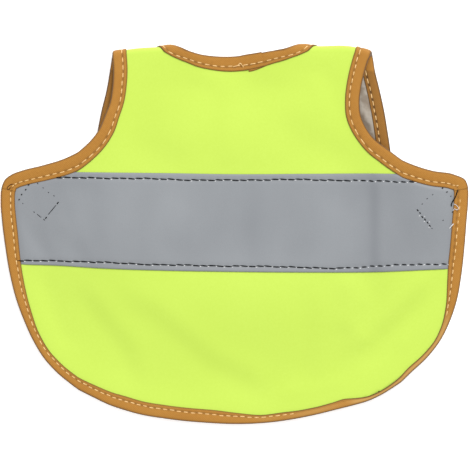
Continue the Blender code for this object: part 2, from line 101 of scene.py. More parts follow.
class Finish:
    """A finish made from dyes: where they lie on the vest, and the shader that they feed."""

    WAVER_SCALE = 260.0

    def __init__(self, name, roughness=0.8, sheen=0.0, specular=0.3):
        self.material = bpy.data.materials.new(name)
        self.material.use_nodes = True
        tree = self.material.node_tree
        self.shader = tree.nodes["Principled BSDF"]
        self.shader.inputs["Roughness"].default_value = roughness
        self.shader.inputs["Sheen Weight"].default_value = sheen
        self.shader.inputs["Specular IOR Level"].default_value = specular
        self.blank = Dye(tree)
        self.place = self.blank.node("ShaderNodeTexCoord", out=3)

    def noise(self, scale, detail=2.0, roughness=0.5, stretch=(1.0, 1.0, 1.0)):
        """Cloudy noise with about this many clouds in a metre."""
        spot = self.blank.node("ShaderNodeVectorMath", {"operation": "MULTIPLY"}, {0: self.place, 1: stretch})
        sockets = {"Vector": spot, "Scale": scale, "Detail": detail, "Roughness": roughness}
        return self.blank.node("ShaderNodeTexNoise", {}, sockets)

    def ribs(self, pitch, direction, distortion):
        """Even ribs this far apart, in metres, across a direction."""
        settings = {"operation": "DOT_PRODUCT"}
        turned = self.blank.node("ShaderNodeVectorMath", settings, {0: self.place, 1: direction}, out=1)
        wave = turned * (2.0 * math.pi / pitch)
        wave = wave + self.noise(self.WAVER_SCALE) * distortion
        return self.blank.node("ShaderNodeMath", {"operation": "SINE"}, {0: wave}) * 0.5 + 0.5

    def colour(self, value):
        self.blank.tree.links.new(value.socket, self.shader.inputs["Base Color"])

    def roughness(self, value):
        self.blank.tree.links.new(value.socket, self.shader.inputs["Roughness"])

    def mark(self, name):
        """A value that the points of a piece carry under this name."""
        return self.blank.node("ShaderNodeAttribute", {"attribute_name": name}, out=2)

    def relief(self, height, depth, strength):
        sockets = {"Height": height, "Distance": depth, "Strength": strength}
        bump = self.blank.node("ShaderNodeBump", {}, sockets)
        self.blank.tree.links.new(bump.socket, self.shader.inputs["Normal"])


TABLE_HALF = 3.0
TABLE_CLEAR = 0.1 * MM
TABLE_GLOW = 0.45
table_corners = [(TABLE_HALF * x, TABLE_HALF * y, 0.0) for x, y in ((-1, -1), (1, -1), (1, 1), (-1, 1))]
table_mesh = bpy.data.meshes.new("table")
table_mesh.from_pydata(table_corners, [], [(0, 1, 2, 3)])
table = bpy.data.objects.new("table", table_mesh)
table.location.z = -TABLE_CLEAR
bpy.context.scene.collection.objects.link(table)
table_white = Finish("table_white", roughness=0.9, specular=0.1)
table_white.colour(mixed(table_white.noise(6.0), (0.95, 0.95, 0.95, 1), (0.97, 0.97, 0.97, 1)))
table_white.shader.inputs["Emission Color"].default_value = (1.0, 1.0, 1.0, 1.0)
table_white.shader.inputs["Emission Strength"].default_value = TABLE_GLOW
table_mesh.materials.append(table_white.material)

ROOM_LIGHT = 0.76
room = bpy.data.worlds.new("white_room")
room.use_nodes = True
room.node_tree.nodes["Background"].inputs["Color"].default_value = (1.0, 1.0, 1.0, 1.0)
room.node_tree.nodes["Background"].inputs["Strength"].default_value = ROOM_LIGHT
bpy.context.scene.world = room

LAMP_PLACE = (0.75, 1.72, 2.17)
LAMP_SIZE = 1.35
LAMP_POWER = 53.5
lamp = bpy.data.lights.new("wide_lamp", "AREA")
lamp.shape = "DISK"
lamp.size = LAMP_SIZE
lamp.energy = LAMP_POWER
lamp_holder = bpy.data.objects.new("wide_lamp", lamp)
lamp_holder.location = LAMP_PLACE
lamp_holder.rotation_euler = (-lamp_holder.location).to_track_quat("-Z", "Y").to_euler()
bpy.context.scene.collection.objects.link(lamp_holder)

# The picture takes in 241 mm at the height of the back, a little more than the vest's width.
VIEW_WIDTH = 0.2412
VIEW_HEIGHT = 1.6
VIEW_MIDDLE = (0.00035, -0.00065)
BACK_HEIGHT = 0.003
FILM_WIDTH = 36.0
camera_data = bpy.data.cameras.new("camera")
camera_data.sensor_width = FILM_WIDTH
camera_data.lens = FILM_WIDTH * (VIEW_HEIGHT - BACK_HEIGHT) / VIEW_WIDTH
camera = bpy.data.objects.new("camera", camera_data)
camera.location = (VIEW_MIDDLE[0], VIEW_MIDDLE[1], VIEW_HEIGHT)
bpy.context.scene.collection.objects.link(camera)
bpy.context.scene.camera = camera
bpy.context.scene.view_settings.view_transform = "Standard"

# The back of the vest.
# One piece of thin bright yellow woven polyester, cut as a bell with two wings, its grey coated side in.
# It runs over the shoulders, and is seamed to the chest just past the fold. Sizes are in millimetres.

FOLD_RADIUS = 1.6
FOLD_RUN = math.pi * FOLD_RADIUS
CLOTH = 1.0
GAP = 0.3
LAYER = CLOTH + GAP
TAPE_WIDTH = 7.2
SEAM_PAST_FOLD = 4.0
SEAM_RUN = FOLD_RUN + SEAM_PAST_FOLD
CHEST_RAISED = LAYER + CLOTH
BACK_AT_FOLD = CHEST_RAISED + 2.0 * FOLD_RADIUS
NECK_SAG = 2.5

# Shoulder fold line: columns x, y
FOLD_ROWS = np.array([
    (-80.0, 86.6), (-62.3, 90.5), (-55.0, 92.2), (-38.7, 93.6), (-20.0, 93.9), (20.0, 94.2),
    (43.1, 94.1), (62.3, 93.5), (70.5, 90.7), (86.0, 86.4),
])

# Outline of the back: columns y, left x, right x
BACK_ROWS = np.array([
    (89.0, -62.2, 68.6), (84.0, -61.9, 67.0), (74.7, -62.4, 64.9), (67.6, -63.6, 64.2),
    (60.6, -66.3, 64.9), (54.7, -68.7, 67.4), (49.1, -72.6, 71.5), (44.2, -77.6, 77.8),
    (39.1, -86.4, 84.6), (35.5, -98.0, 92.2), (32.7, -109.2, 101.5), (30.8, -114.2, 112.8),
    (28.1, -117.7, 118.3), (23.5, -119.5, 120.0), (17.3, -119.9, 120.1), (7.1, -119.2, 119.3),
    (-5.8, -117.6, 118.3), (-21.2, -115.0, 116.6), (-34.0, -111.7, 114.3), (-44.2, -107.9, 110.9),
    (-54.5, -103.2, 105.8), (-63.2, -97.9, 99.0), (-70.9, -91.0, 90.8), (-77.6, -82.8, 83.1),
    (-83.2, -73.1, 73.8), (-87.8, -63.3, 60.8), (-91.7, -51.0, 45.4), (-94.5, -35.6, 32.1),
    (-96.4, -17.7, 19.2), (-97.3, 2.8, 2.8),
])

# Outline of the chest: columns y, left x, right x
CHEST_ROWS = np.array([
    (84.0, -63.8, 72.3), (73.7, -65.6, 74.8), (63.5, -68.1, 77.0), (52.7, -70.2, 78.8),
    (42.9, -71.8, 80.2), (32.7, -72.8, 81.0), (22.4, -73.6, 81.3), (11.2, -72.6, 80.3),
    (-0.6, -68.5, 76.2), (-11.9, -59.7, 67.4), (-22.2, -45.4, 53.1), (-28.8, -26.9, 34.6),
    (-31.4, 3.8, 3.8),
])
FOLD_EDGE = (-62.5, 70.6)

# Neck hole: columns run along the cloth from the fold, left x, right x
NECK_ROWS = np.array([
    (-2.85, -4.4, -4.4), (-2.5, -11.0, 3.3), (-1.5, -17.7, 11.0), (0.0, -22.6, 20.0),
    (1.0, -26.3, 27.5), (2.5, -30.8, 32.6), (FOLD_RUN, -35.0, 37.2), (8.0, -37.6, 40.0),
    (10.6, -38.5, 41.5), (19.9, -37.9, 42.1), (32.7, -33.1, 38.2), (44.0, -22.3, 28.5),
    (50.1, -9.0, 15.1), (51.6, 2.8, 2.8),
])

# Hook and loop patches: node, layer, centre x, centre y, turn in degrees
PATCH_ROWS = (
    ("hook_patch_left", "back", -99.7, 17.4, -39.0),
    ("hook_patch_right", "back", 104.3, 13.2, 40.5),
    ("loop_patch_left", "chest", -38.0, 2.0, 39.0),
    ("loop_patch_right", "chest", 45.6, 2.0, -39.0),
)
PATCH_SIZE = (20.0, 16.0)

# Soft folds of the back, each a low step: half width, drop from its left side, and x, y along it
FOLDS = (
    (5.4, 0.72, (-64.0, -29.0), (-41.0, -39.4), (-24.6, -53.2), (-11.3, -64.5), (6.2, -72.6), (21.0, -85.0)),
    (4.8, 0.70, (-82.0, -22.0), (-69.2, -38.8), (-59.0, -51.7), (-52.3, -60.9), (-47.0, -82.0)),
    (5.4, 1.35, (56.0, -66.0), (76.9, -49.1), (91.3, -35.3), (109.0, -17.0)),
    (5.0, 0.45, (39.5, -24.0), (41.0, -50.0), (38.5, -78.0)),
    (4.0, 0.55, (18.0, -86.0), (40.0, -84.5), (62.0, -79.0)),
    (4.5, -0.60, (-103.0, -20.0), (-97.0, -42.0), (-88.0, -63.0)),
    (6.0, -1.10, (62.0, -17.0), (67.0, -34.0), (62.0, -54.0)),
    (5.5, -1.10, (109.0, -24.0), (102.0, -46.0), (86.0, -66.0)),
    (8.0, 0.70, (22.0, 64.0), (40.0, 52.0), (62.0, 40.0)),
    (7.0, 0.35, (-54.0, 54.0), (-40.0, 46.0), (-22.0, 38.0)),
    (6.0, 0.45, (-8.0, 84.0), (-6.7, 58.0), (-8.0, 34.0)),
    (4.5, -0.50, (41.0, 86.0), (47.5, 75.0), (50.0, 60.0)),
    (3.4, 0.85, (71.5, 34.0), (72.3, 6.0), (71.5, -22.0)),
    (6.0, 0.35, (9.0, 34.0), (8.0, 6.0), (11.0, -20.0)),
    (7.0, 0.40, (-71.0, 34.0), (-68.0, 6.0), (-74.0, -20.0)),
    (3.6, 0.30, (-94.0, 8.0), (-82.0, -4.0), (-71.0, -18.0)),
    (3.2, -0.60, (-116.0, 13.0), (-107.0, 0.0), (-96.0, -17.0)),
)


def ramp(value, start, end):
    """Rises softly from 0 at the start to 1 at the end."""
    share = np.clip((value - start) / (end - start), 0.0, 1.0)
    return share * share * (3.0 - 2.0 * share)


def smooth_between(place, places, values):
    """Reads a table with smooth steps between its rows."""
    place = np.clip(place, places[0], places[-1])
    spans = np.diff(places)
    steps = np.diff(values, axis=0) / spans.reshape((-1,) + (1,) * (values.ndim - 1))
    slope = np.empty_like(values, dtype=float)
    slope[0], slope[-1] = steps[0], steps[-1]
    for i in range(1, len(spans)):
        slope[i] = (steps[i - 1] * spans[i] + steps[i] * spans[i - 1]) / (spans[i - 1] + spans[i])
    row = np.clip(np.searchsorted(places, place) - 1, 0, len(places) - 2)
    span = spans[row]
    share = (place - places[row]) / span
    if values.ndim > 1:
        share, span = share[:, None], span[:, None]
    rise = share * share * (3.0 - 2.0 * share)
    start_pull = span * slope[row] * share * (1.0 - share) ** 2
    end_pull = span * slope[row + 1] * share**2 * (1.0 - share)
    return values[row] * (1.0 - rise) + values[row + 1] * rise + start_pull - end_pull


def fold_line(x):
    """The y of the shoulder fold at each x."""
    return smooth_between(x, FOLD_ROWS[:, 0], FOLD_ROWS[:, 1])


def on_back(x, y):
    """The place in the pattern, across the vest and along its cloth, of a point seen on the back."""
    x = np.asarray(x, float)
    return np.stack([x, y - fold_line(x)], axis=-1)


def on_chest(x, y):
    """The same for a point on the chest, which lies under the back."""
    x = np.asarray(x, float)
    return np.stack([x, FOLD_RUN + fold_line(x) - y], axis=-1)


class BoundEdge:
    """A closed edge of the pattern with a tape round it. The cloth is on its left."""

    SPAN = 3.5
    POINTS = 6000
    OVERLAP = 3

    def __init__(self, corners):
        corners = np.vstack([corners[-self.OVERLAP:], corners, corners[:self.OVERLAP]])
        places = np.concatenate([[0.0], np.cumsum(np.linalg.norm(np.diff(corners, axis=0), axis=1))])
        around = np.linspace(places[self.OVERLAP], places[-self.OVERLAP], self.POINTS)
        self.points = smooth_between(around, places, corners)
        steps = np.linalg.norm(np.diff(self.points, axis=0), axis=1)
        self.along = np.concatenate([[0.0], np.cumsum(steps)])
        self.length = self.along[-1]

    def at(self, along):
        along = np.mod(along, self.length)
        return np.stack([np.interp(along, self.along, self.points[:, i]) for i in (0, 1)], axis=-1)

    def inset(self, along, distance):
        """Points of the pattern this far in from the edge."""
        ahead = self.at(along + self.SPAN) - self.at(along - self.SPAN)
        side = np.stack([-ahead[..., 1], ahead[..., 0]], axis=-1)
        side /= np.linalg.norm(side, axis=-1, keepdims=True)
        return self.at(along) + side * np.asarray(distance)[..., None]

    def nearest(self, point):
        return self.along[np.argmin(np.linalg.norm(self.points - point, axis=1))]


outer_edge = BoundEdge(np.vstack([
    on_back(BACK_ROWS[:, 1], BACK_ROWS[:, 0]),
    on_back(BACK_ROWS[:, 2], BACK_ROWS[:, 0])[-2::-1],
    [(FOLD_EDGE[1], FOLD_RUN / 2.0)],
    on_chest(CHEST_ROWS[:, 2], CHEST_ROWS[:, 0]),
    on_chest(CHEST_ROWS[:, 1], CHEST_ROWS[:, 0])[-2::-1],
    [(FOLD_EDGE[0], FOLD_RUN / 2.0)],
]))
neck_edge = BoundEdge(np.vstack([NECK_ROWS[:, [1, 0]], NECK_ROWS[:, [2, 0]][-2:0:-1]]))


AT_ONCE = 4000


def distance_to(points, line):
    """The distance of each point from a line of many corners."""
    start = line[:-1]
    span = line[1:] - start
    size = np.maximum((span**2).sum(axis=1), 1e-9)
    found = np.empty(len(points))
    for first in range(0, len(points), AT_ONCE):
        offset = points[first:first + AT_ONCE, None, :] - start[None, :, :]
        share = np.clip((offset * span).sum(axis=2) / size, 0.0, 1.0)
        gap = offset - share[..., None] * span
        found[first:first + AT_ONCE] = np.sqrt((gap**2).sum(axis=2).min(axis=1))
    return found


def inside(points, loop):
    """Whether each point lies inside a closed loop."""
    following = np.roll(loop, -1, axis=0)
    rise = np.where(following[:, 1] == loop[:, 1], 1e-9, following[:, 1] - loop[:, 1])
    found = np.empty(len(points), bool)
    for first in range(0, len(points), AT_ONCE):
        part = points[first:first + AT_ONCE]
        x, y = part[:, 0, None], part[:, 1, None]
        crosses = (loop[:, 1] > y) != (following[:, 1] > y)
        at_x = loop[:, 0] + (y - loop[:, 1]) / rise * (following[:, 0] - loop[:, 0])
        found[first:first + AT_ONCE] = (crosses & (x < at_x)).sum(axis=1) % 2 == 1
    return found


SEEN_STEP = 15


def seen_edges(edge, of_back):
    """The parts of an edge that lie on one layer, as lines on the table."""
    dense = edge.points[::SEEN_STEP]
    run = dense[:, 1]
    kept = run <= 0.0 if of_back else run >= FOLD_RUN
    flat = np.stack([dense[:, 0], fold_line(dense[:, 0]) + (run if of_back else FOLD_RUN - run)], axis=1)
    starts = np.nonzero(np.diff(kept.astype(int)))[0] + 1
    parts = [part for part, keep in zip(np.split(flat, starts), np.split(kept, starts)) if keep[0]]
    return [part for part in parts if len(part) > 1]


back_edges = seen_edges(outer_edge, True) + seen_edges(neck_edge, True)
chest_side = max(seen_edges(outer_edge, False), key=len)
chest_neck = max(seen_edges(neck_edge, False), key=len)


# Distances over which the cloth comes down again beside a patch, a tape and the shoulder fold
PATCH_EASE = (1.0, 8.0)
TAPE_EASE = (TAPE_WIDTH + 1.0, TAPE_WIDTH + 8.0)
CHEST_FOLD_EASE = (8.0, 18.0)
BACK_FOLD_EASE = (2.0, 20.0)
# The same beside the chest, and in its neck hole, where the back sags between the edges
BESIDE_EASE = (0.0, 46.0)
HOLE_EASE = (3.0, 32.0)
HOLE_SAG = 0.4


def patch_lift(points, layer):
    """1 over a patch of one layer, and 0 a little way off."""
    lifts = []
    for _, row_layer, centre_x, centre_y, turn in PATCH_ROWS:
        if row_layer == layer:
            angle = math.radians(turn)
            across = points - (centre_x, centre_y)
            long_way = np.abs(across @ (math.cos(angle), math.sin(angle))) - PATCH_SIZE[0] / 2.0
            short_way = np.abs(across @ (-math.sin(angle), math.cos(angle))) - PATCH_SIZE[1] / 2.0
            beyond = np.hypot(np.maximum(long_way, 0.0), np.maximum(short_way, 0.0))
            lifts.append(1.0 - ramp(beyond, *PATCH_EASE))
    return np.max(lifts, axis=0)


GRID_X = np.arange(-126.0, 127.0)
GRID_Y = np.arange(-104.0, 103.0)
GRID_POINTS = np.stack(np.meshgrid(GRID_X, GRID_Y), axis=-1).reshape(-1, 2)


def on_grid(values):
    return values.reshape(len(GRID_Y), len(GRID_X))


def softened(height, rounds):
    """Heights as stiff cloth would bridge them, softer with more rounds."""
    for _ in range(rounds):
        padded = np.pad(height, 1, mode="edge")
        sides = padded[:-2, 1:-1] + padded[2:, 1:-1] + padded[1:-1, :-2] + padded[1:-1, 2:]
        height = sides / 8.0 + height / 2.0
    return height


def cubic_shares(t):
    """What each of four neighbours adds at a place between the middle two."""
    second = (3 * t**3 - 6 * t**2 + 4) / 6
    third = (-3 * t**3 + 3 * t**2 + 3 * t + 1) / 6
    return (1 - t) ** 3 / 6, second, third, t**3 / 6


def height_at(grid, x, y):
    """Reads a grid of heights with smooth cubic steps."""
    across = np.clip(x - GRID_X[0], 1.0, len(GRID_X) - 2.001)
    up = np.clip(y - GRID_Y[0], 1.0, len(GRID_Y) - 2.001)
    i, j = across.astype(int), up.astype(int)
    across_shares, up_shares = cubic_shares(across - i), cubic_shares(up - j)
    total = 0
    for b in range(4):
        total = total + up_shares[b] * sum(across_shares[a] * grid[j + b - 1, i + a - 1] for a in range(4))
    return total


def near_edges(points, lines):
    """1 under the tapes of these edges, and 0 a little way off."""
    nearest = np.min([distance_to(points, line) for line in lines], axis=0)
    return 1.0 - ramp(nearest, *TAPE_EASE)


# Shares of a fold's length over which it rises and dies away
FOLD_STARTS = 0.22
FOLD_ENDS = 0.8


def fold_relief(points, half_width, drop, *line):
    """A soft fold along a line: higher on its left, lower on its right, and flat again further off."""
    line = np.array(line)
    nearest = np.full(len(points), np.inf)
    signed = np.zeros(len(points))
    along = np.zeros(len(points))
    for number, (start, end) in enumerate(zip(line[:-1], line[1:])):
        span = end - start
        offset = points - start
        share = np.clip(offset @ span / (span @ span), 0.0, 1.0)
        off = np.linalg.norm(offset - share[:, None] * span, axis=1)
        nearer = off < nearest
        nearest = np.where(nearer, off, nearest)
        left = np.sign(span[0] * offset[:, 1] - span[1] * offset[:, 0])
        signed = np.where(nearer, off * left / half_width, signed)
        along = np.where(nearer, (number + share) / (len(line) - 1), along)
    fade = ramp(along, 0.0, FOLD_STARTS) * (1.0 - ramp(along, FOLD_ENDS, 1.0))
    return drop * signed * np.exp(-signed**2 / 2.0) * fade


# The chest lies on the table, raised by its tape and by the loop patches under it.
OVER_TAPE = 0.95
OVER_PATCH = 0.3
CHEST_BRIDGING = 60
CHEST_EVENING = 4
fold_gap = fold_line(GRID_POINTS[:, 0]) - GRID_POINTS[:, 1]
within_chest = inside(GRID_POINTS, chest_side) & ~inside(GRID_POINTS, chest_neck)
chest_edge = near_edges(GRID_POINTS, [chest_side, chest_neck])
chest_patch = patch_lift(GRID_POINTS, "chest")
chest_fold = 1.0 - ramp(fold_gap, *CHEST_FOLD_EASE)
chest_raised = np.maximum.reduce([chest_edge, chest_fold, chest_patch, (~within_chest).astype(float)])
chest_bare = on_grid(CLOTH + (CHEST_RAISED - CLOTH) * chest_raised)
chest_least = on_grid(CLOTH + OVER_TAPE * np.maximum(chest_edge, chest_fold) + OVER_PATCH * chest_patch)
chest_grid = softened(np.maximum(softened(chest_bare, CHEST_BRIDGING), chest_least), CHEST_EVENING)

# The back bridges what is under it: the chest, its own tapes, and the hook patches. Its folds lie over them.
BACK_BRIDGING = 110
BACK_EVENING = 8
BACK_FREE = 0.35
OVER_CHEST = 1.4
OVER_BACK_TAPE = 0.8
WHOLLY_CARRIED = 24
FOLD_LESS_AT_TAPE = 0.75
NECK_SAG_X = -1.6
NECK_SAG_EASE = (2.0, 21.0)
beside = np.where(inside(GRID_POINTS, chest_side), 0.0, distance_to(GRID_POINTS, chest_side))
in_hole = np.where(inside(GRID_POINTS, chest_neck), distance_to(GRID_POINTS, chest_neck), 0.0)
carried = on_grid((1.0 - ramp(beside, *BESIDE_EASE)) * (1.0 - HOLE_SAG * ramp(in_hole, *HOLE_EASE)))
back_edge = near_edges(GRID_POINTS, back_edges)
back_lift = np.maximum(back_edge, patch_lift(GRID_POINTS, "back"))
folds = sum(fold_relief(GRID_POINTS, *fold) for fold in FOLDS) * (1.0 - FOLD_LESS_AT_TAPE * back_edge)
back_bare = (chest_grid + 2.0 * FOLD_RADIUS - LAYER) * carried + on_grid(LAYER * back_lift)
back_least = (chest_grid + OVER_CHEST) * carried**WHOLLY_CARRIED + on_grid(OVER_BACK_TAPE * back_edge)
back_least = np.maximum(back_least, on_grid(OVER_TAPE * back_lift))
back_grid = np.maximum(softened(back_bare, BACK_BRIDGING) + BACK_FREE + on_grid(folds), back_least)
at_fold = BACK_AT_FOLD - NECK_SAG * (1.0 - ramp(np.abs(GRID_POINTS[:, 0] - NECK_SAG_X), *NECK_SAG_EASE))
near_fold = on_grid(1.0 - ramp(fold_gap, *BACK_FOLD_EASE))
back_grid = softened(back_grid, BACK_EVENING) * (1.0 - near_fold) + on_grid(at_fold) * near_fold

# The pattern is centred on the footprint, as the frame is.
shift_x = CAD_LOW[0] / MM - outer_edge.points[:, 0].min()
lowest_y = fold_line(outer_edge.points[:, 0]) + outer_edge.points[:, 1]
shift_y = CAD_LOW[1] / MM - lowest_y.min()


TABLE_TOUCH = 0.02


def lay(flat):
    """Folds the pattern at the shoulders and lays it down. The third value is out from the inside."""
    x, run, out = flat[..., 0], flat[..., 1], flat[..., 2]
    line = fold_line(x.ravel()).reshape(x.shape)
    back_y = line + np.minimum(run, 0.0)
    chest_y = line - np.maximum(run - FOLD_RUN, 0.0)
    turn = np.clip(run, 0.0, FOLD_RUN) / FOLD_RADIUS
    reach = FOLD_RADIUS + out
    y = np.where(run <= 0.0, back_y, np.where(run >= FOLD_RUN, chest_y, line + reach * np.sin(turn)))
    bend_z = CHEST_RAISED + FOLD_RADIUS + reach * np.cos(turn)
    z = np.where(run <= 0.0, height_at(back_grid, x, back_y) + out,
                 np.where(run >= FOLD_RUN, height_at(chest_grid, x, chest_y) - out, bend_z))
    return np.stack([x + shift_x, y + shift_y, np.maximum(z, TABLE_TOUCH)], axis=-1) * MM


def add_piece(name, points, faces, finishes, marks=None):
    """A laid piece of the vest from points in metres. marks gives the finish of each face."""
    mesh = bpy.data.meshes.new(name)
    mesh.vertices.add(len(points))
    mesh.vertices.foreach_set("co", np.asarray(points, np.float32).ravel())
    faces = np.asarray(faces)
    mesh.loops.add(faces.size)
    mesh.loops.foreach_set("vertex_index", faces.ravel().astype(np.int32))
    mesh.polygons.add(len(faces))
    mesh.polygons.foreach_set("loop_start", np.arange(0, faces.size, faces.shape[1], dtype=np.int32))
    for finish in finishes:
        mesh.materials.append(finish.material)
    if marks is not None:
        mesh.polygons.foreach_set("material_index", np.asarray(marks, np.int32))
    mesh.polygons.foreach_set("use_smooth", np.ones(len(faces), bool))
    mesh.update(calc_edges=True)
    mesh.validate()
    piece = bpy.data.objects.new(name, mesh)
    bpy.context.scene.collection.objects.link(piece)
    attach(piece, "root")
    return piece


def net_quads(shape):
    """The quads between the points of a net with this many rows and columns."""
    corner = np.arange(shape[0] * shape[1]).reshape(shape)
    near, far = corner[:-1], corner[1:]
    return np.stack([near[:, :-1], near[:, 1:], far[:, 1:], far[:, :-1]], axis=-1).reshape(-1, 4)


def round_quads(rings):
    """The quads between each ring of points and the next one along. The last index goes round a ring."""
    near, far = rings[..., :-1, :], rings[..., 1:, :]
    return np.stack([near, np.roll(near, -1, -1), np.roll(far, -1, -1), far], axis=-1).reshape(-1, 4)


def cloth_from(name, pattern, quads, low, high, finishes):
    """A thin cloth on a net of quads in the pattern. low and high are its two faces, out from the inside."""
    low, high = (np.broadcast_to(value, len(pattern)) for value in (low, high))
    used, index = np.unique(quads, return_inverse=True)
    quads = index.reshape(quads.shape)
    pattern, low, high = pattern[used], low[used], high[used]
    count = len(pattern)
    flat = np.vstack([np.column_stack([pattern, high]), np.column_stack([pattern, low])])
    ends = np.concatenate([quads[:, [i, (i + 1) % 4]] for i in range(4)])
    key = np.sort(ends, axis=1)
    _, first, times = np.unique(key, axis=0, return_index=True, return_counts=True)
    rim = ends[first[times == 1]]
    walls = np.column_stack([rim[:, 1], rim[:, 0], rim[:, 0] + count, rim[:, 1] + count])
    faces = np.vstack([quads, quads[:, ::-1] + count, walls])
    marks = np.zeros(len(faces))
    marks[len(quads):2 * len(quads)] = len(finishes) - 1
    return add_piece(name, lay(flat), faces, finishes, marks)


FOLD_ROWS_OF_NET = 15
NET_HALF = 121.0
NUDGE = 0.2


def panel_net(first_run, last_run, margin, step):
    """A net of quads over the pattern between two runs, its rim pulled in to this margin from the edges."""
    fold = np.linspace(0.0, FOLD_RUN, FOLD_ROWS_OF_NET)
    runs = [first_run, *np.arange(first_run + step, last_run - step * 0.4, step), last_run]
    runs = [run for run in runs if not -step * 0.4 < run < FOLD_RUN + step * 0.4]
    runs = np.array(sorted(runs + [run for run in fold if first_run < run < last_run]))
    across = np.arange(-NET_HALF, NET_HALF + 0.5, step)
    x, run = np.meshgrid(across, runs)
    pattern = np.stack([x.ravel(), run.ravel()], axis=1)
    loops = [outer_edge.points[::10], neck_edge.points[::10]]
    depth = np.full(len(pattern), np.inf)
    toward = np.zeros_like(pattern)
    for loop, within in zip(loops, (True, False)):
        closed = np.vstack([loop, loop[:1]])
        away = distance_to(pattern, closed)
        signed = np.where(inside(pattern, loop) == within, away, -away)
        near = np.abs(signed) < step * 2.5 + margin
        nudge = np.zeros_like(pattern)
        for axis in (0, 1):
            for sign in (-1.0, 1.0):
                moved = pattern[near].copy()
                moved[:, axis] += sign * NUDGE
                off = distance_to(moved, closed)
                nudge[near, axis] += sign * np.where(inside(moved, loop) == within, off, -off)
        nearer = signed < depth
        toward[nearer] = nudge[nearer]
        depth = np.minimum(depth, signed)
    toward /= np.maximum(np.linalg.norm(toward, axis=1, keepdims=True), 1e-9)
    short = np.maximum(margin - depth, 0.0)
    kept = short < step * 0.75
    pattern = pattern + toward * np.where(kept, short, 0.0)[:, None]
    quads = net_quads(x.shape)
    return pattern, quads[kept[quads].all(axis=1)], depth


THREAD_PITCH = 0.00042
DEEP_YELLOW = (0.548, 0.750, 0.093, 1)
LIGHT_YELLOW = (0.590, 0.795, 0.115, 1)
yellow = Finish("bright_yellow_cloth", roughness=0.78, sheen=0.12, specular=0.25)
yellow_grain = yellow.noise(900.0, 3.0, 0.6)
yellow_clouds = yellow.noise(22.0, 2.0, 0.5)
yellow_weave = yellow.ribs(THREAD_PITCH, (1, 0.03, 0), 0.8) * yellow.ribs(THREAD_PITCH, (-0.03, 1, 0), 0.8)
yellow_shade = yellow_grain * 0.5 + yellow_clouds * 0.3 + yellow_weave * 0.25
yellow.colour(mixed(between(yellow_shade, 0.3, 0.8), DEEP_YELLOW, LIGHT_YELLOW))
yellow.relief(yellow_weave * 0.5 + yellow_grain, 0.00006, 0.3)

DEEP_GREY = (0.33, 0.32, 0.285, 1)
LIGHT_GREY = (0.42, 0.405, 0.36, 1)
coated_grey = Finish("grey_coated_inside", roughness=0.7, sheen=0.1)
coated_grey.colour(mixed(between(coated_grey.noise(60.0, 4.0), 0.35, 0.7), DEEP_GREY, LIGHT_GREY))
coated_grey.relief(coated_grey.noise(500.0, 3.0), 0.0002, 0.4)

HEM_RUN = -192.0
BACK_STEP = 1.3
# The cloth's raw edge, in from the folded edge of the tape, and the heights of its two faces
RAW_EDGE_IN = 1.4
CLOTH_FACES = (0.03, 0.97)
back_pattern, back_quads, _ = panel_net(HEM_RUN, SEAM_RUN - GAP / 2.0, RAW_EDGE_IN, BACK_STEP)
back_cloth = cloth_from("back_cloth", back_pattern, back_quads, *CLOTH_FACES, [yellow, coated_grey])
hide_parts("back_panel")

# The chest.
# A rounded bib of the same yellow cloth, yellow side to the table, lined with thin crumpled grey cloth.
# The lining shows through the right armhole.

CHEST_RUN = 130.0
CHEST_STEP = 1.6
chest_pattern, chest_quads, _ = panel_net(SEAM_RUN + GAP / 2.0, CHEST_RUN, RAW_EDGE_IN, CHEST_STEP)
chest_cloth = cloth_from("chest_cloth", chest_pattern, chest_quads, *CLOTH_FACES, [yellow])
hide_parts("chest_panel")

# The lining's colour is painted shade in the hollows of its crumples and painted light on their tops, from
# the same pattern as its relief.
LINING_IN_SHADE = (0.25, 0.20, 0.15, 1)
LINING_IN_LIGHT = (0.40, 0.355, 0.295, 1)
lining_grey = Finish("crumpled_grey_lining", roughness=0.65, sheen=0.15)
lining_streaks = lining_grey.ribs(0.0075, (0.86, 0.5, 0.0), 5.0)
lining_folds = lining_grey.noise(150.0, 4.0, 0.6) * 0.55 + lining_streaks * 0.45
lining_grey.colour(mixed(between(lining_folds, 0.25, 0.75), LINING_IN_SHADE, LINING_IN_LIGHT))
lining_grey.relief(lining_folds, 0.0010, 0.7)


GOLDEN_TURN = 2.399


def crumple(x, y, size):
    """Uneven crumples about this size, from six waves laid across each other."""
    total = np.zeros_like(x)
    for turn in range(6):
        angle = 0.4 + turn * GOLDEN_TURN
        pitch = size * (0.7 + 0.23 * turn)
        bent = x * math.cos(angle) + y * math.sin(angle) + 0.35 * pitch * np.sin((y - x) / pitch + turn)
        total += np.sin(2.0 * math.pi * bent / pitch + turn * 1.7)
    return total / 3.2


LINING_THICK = 0.3
LINING_EDGE_IN = 4.0
LINING_STEP = 1.4
LINING_SEWN_OUT = -0.22
CRUMPLE_SIZE = 9.0
CRUMPLE_MEAN = 0.60
CRUMPLE_SWING = 0.46
lining_pattern, lining_quads, lining_depth = panel_net(
    SEAM_RUN + GAP / 2.0, CHEST_RUN, LINING_EDGE_IN, LINING_STEP
)
lining_free = ramp(lining_depth, TAPE_WIDTH - 0.4, TAPE_WIDTH + 3.0)
lining_crumples = CRUMPLE_MEAN + CRUMPLE_SWING * crumple(*lining_pattern.T, CRUMPLE_SIZE)
lining_out = LINING_SEWN_OUT - lining_free * lining_crumples
chest_lining = cloth_from(
    "chest_lining_cloth", lining_pattern, lining_quads,
    lining_out - LINING_THICK / 2.0, lining_out + LINING_THICK / 2.0, [lining_grey],
)
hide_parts("chest_lining")

# The reflective band.
# A 50 mm strip of grey glass-bead cloth, sewn across the back with black thread, its ends under the tapes.
# The thread shows as short black stitches with pale flecks of the lower thread between them.

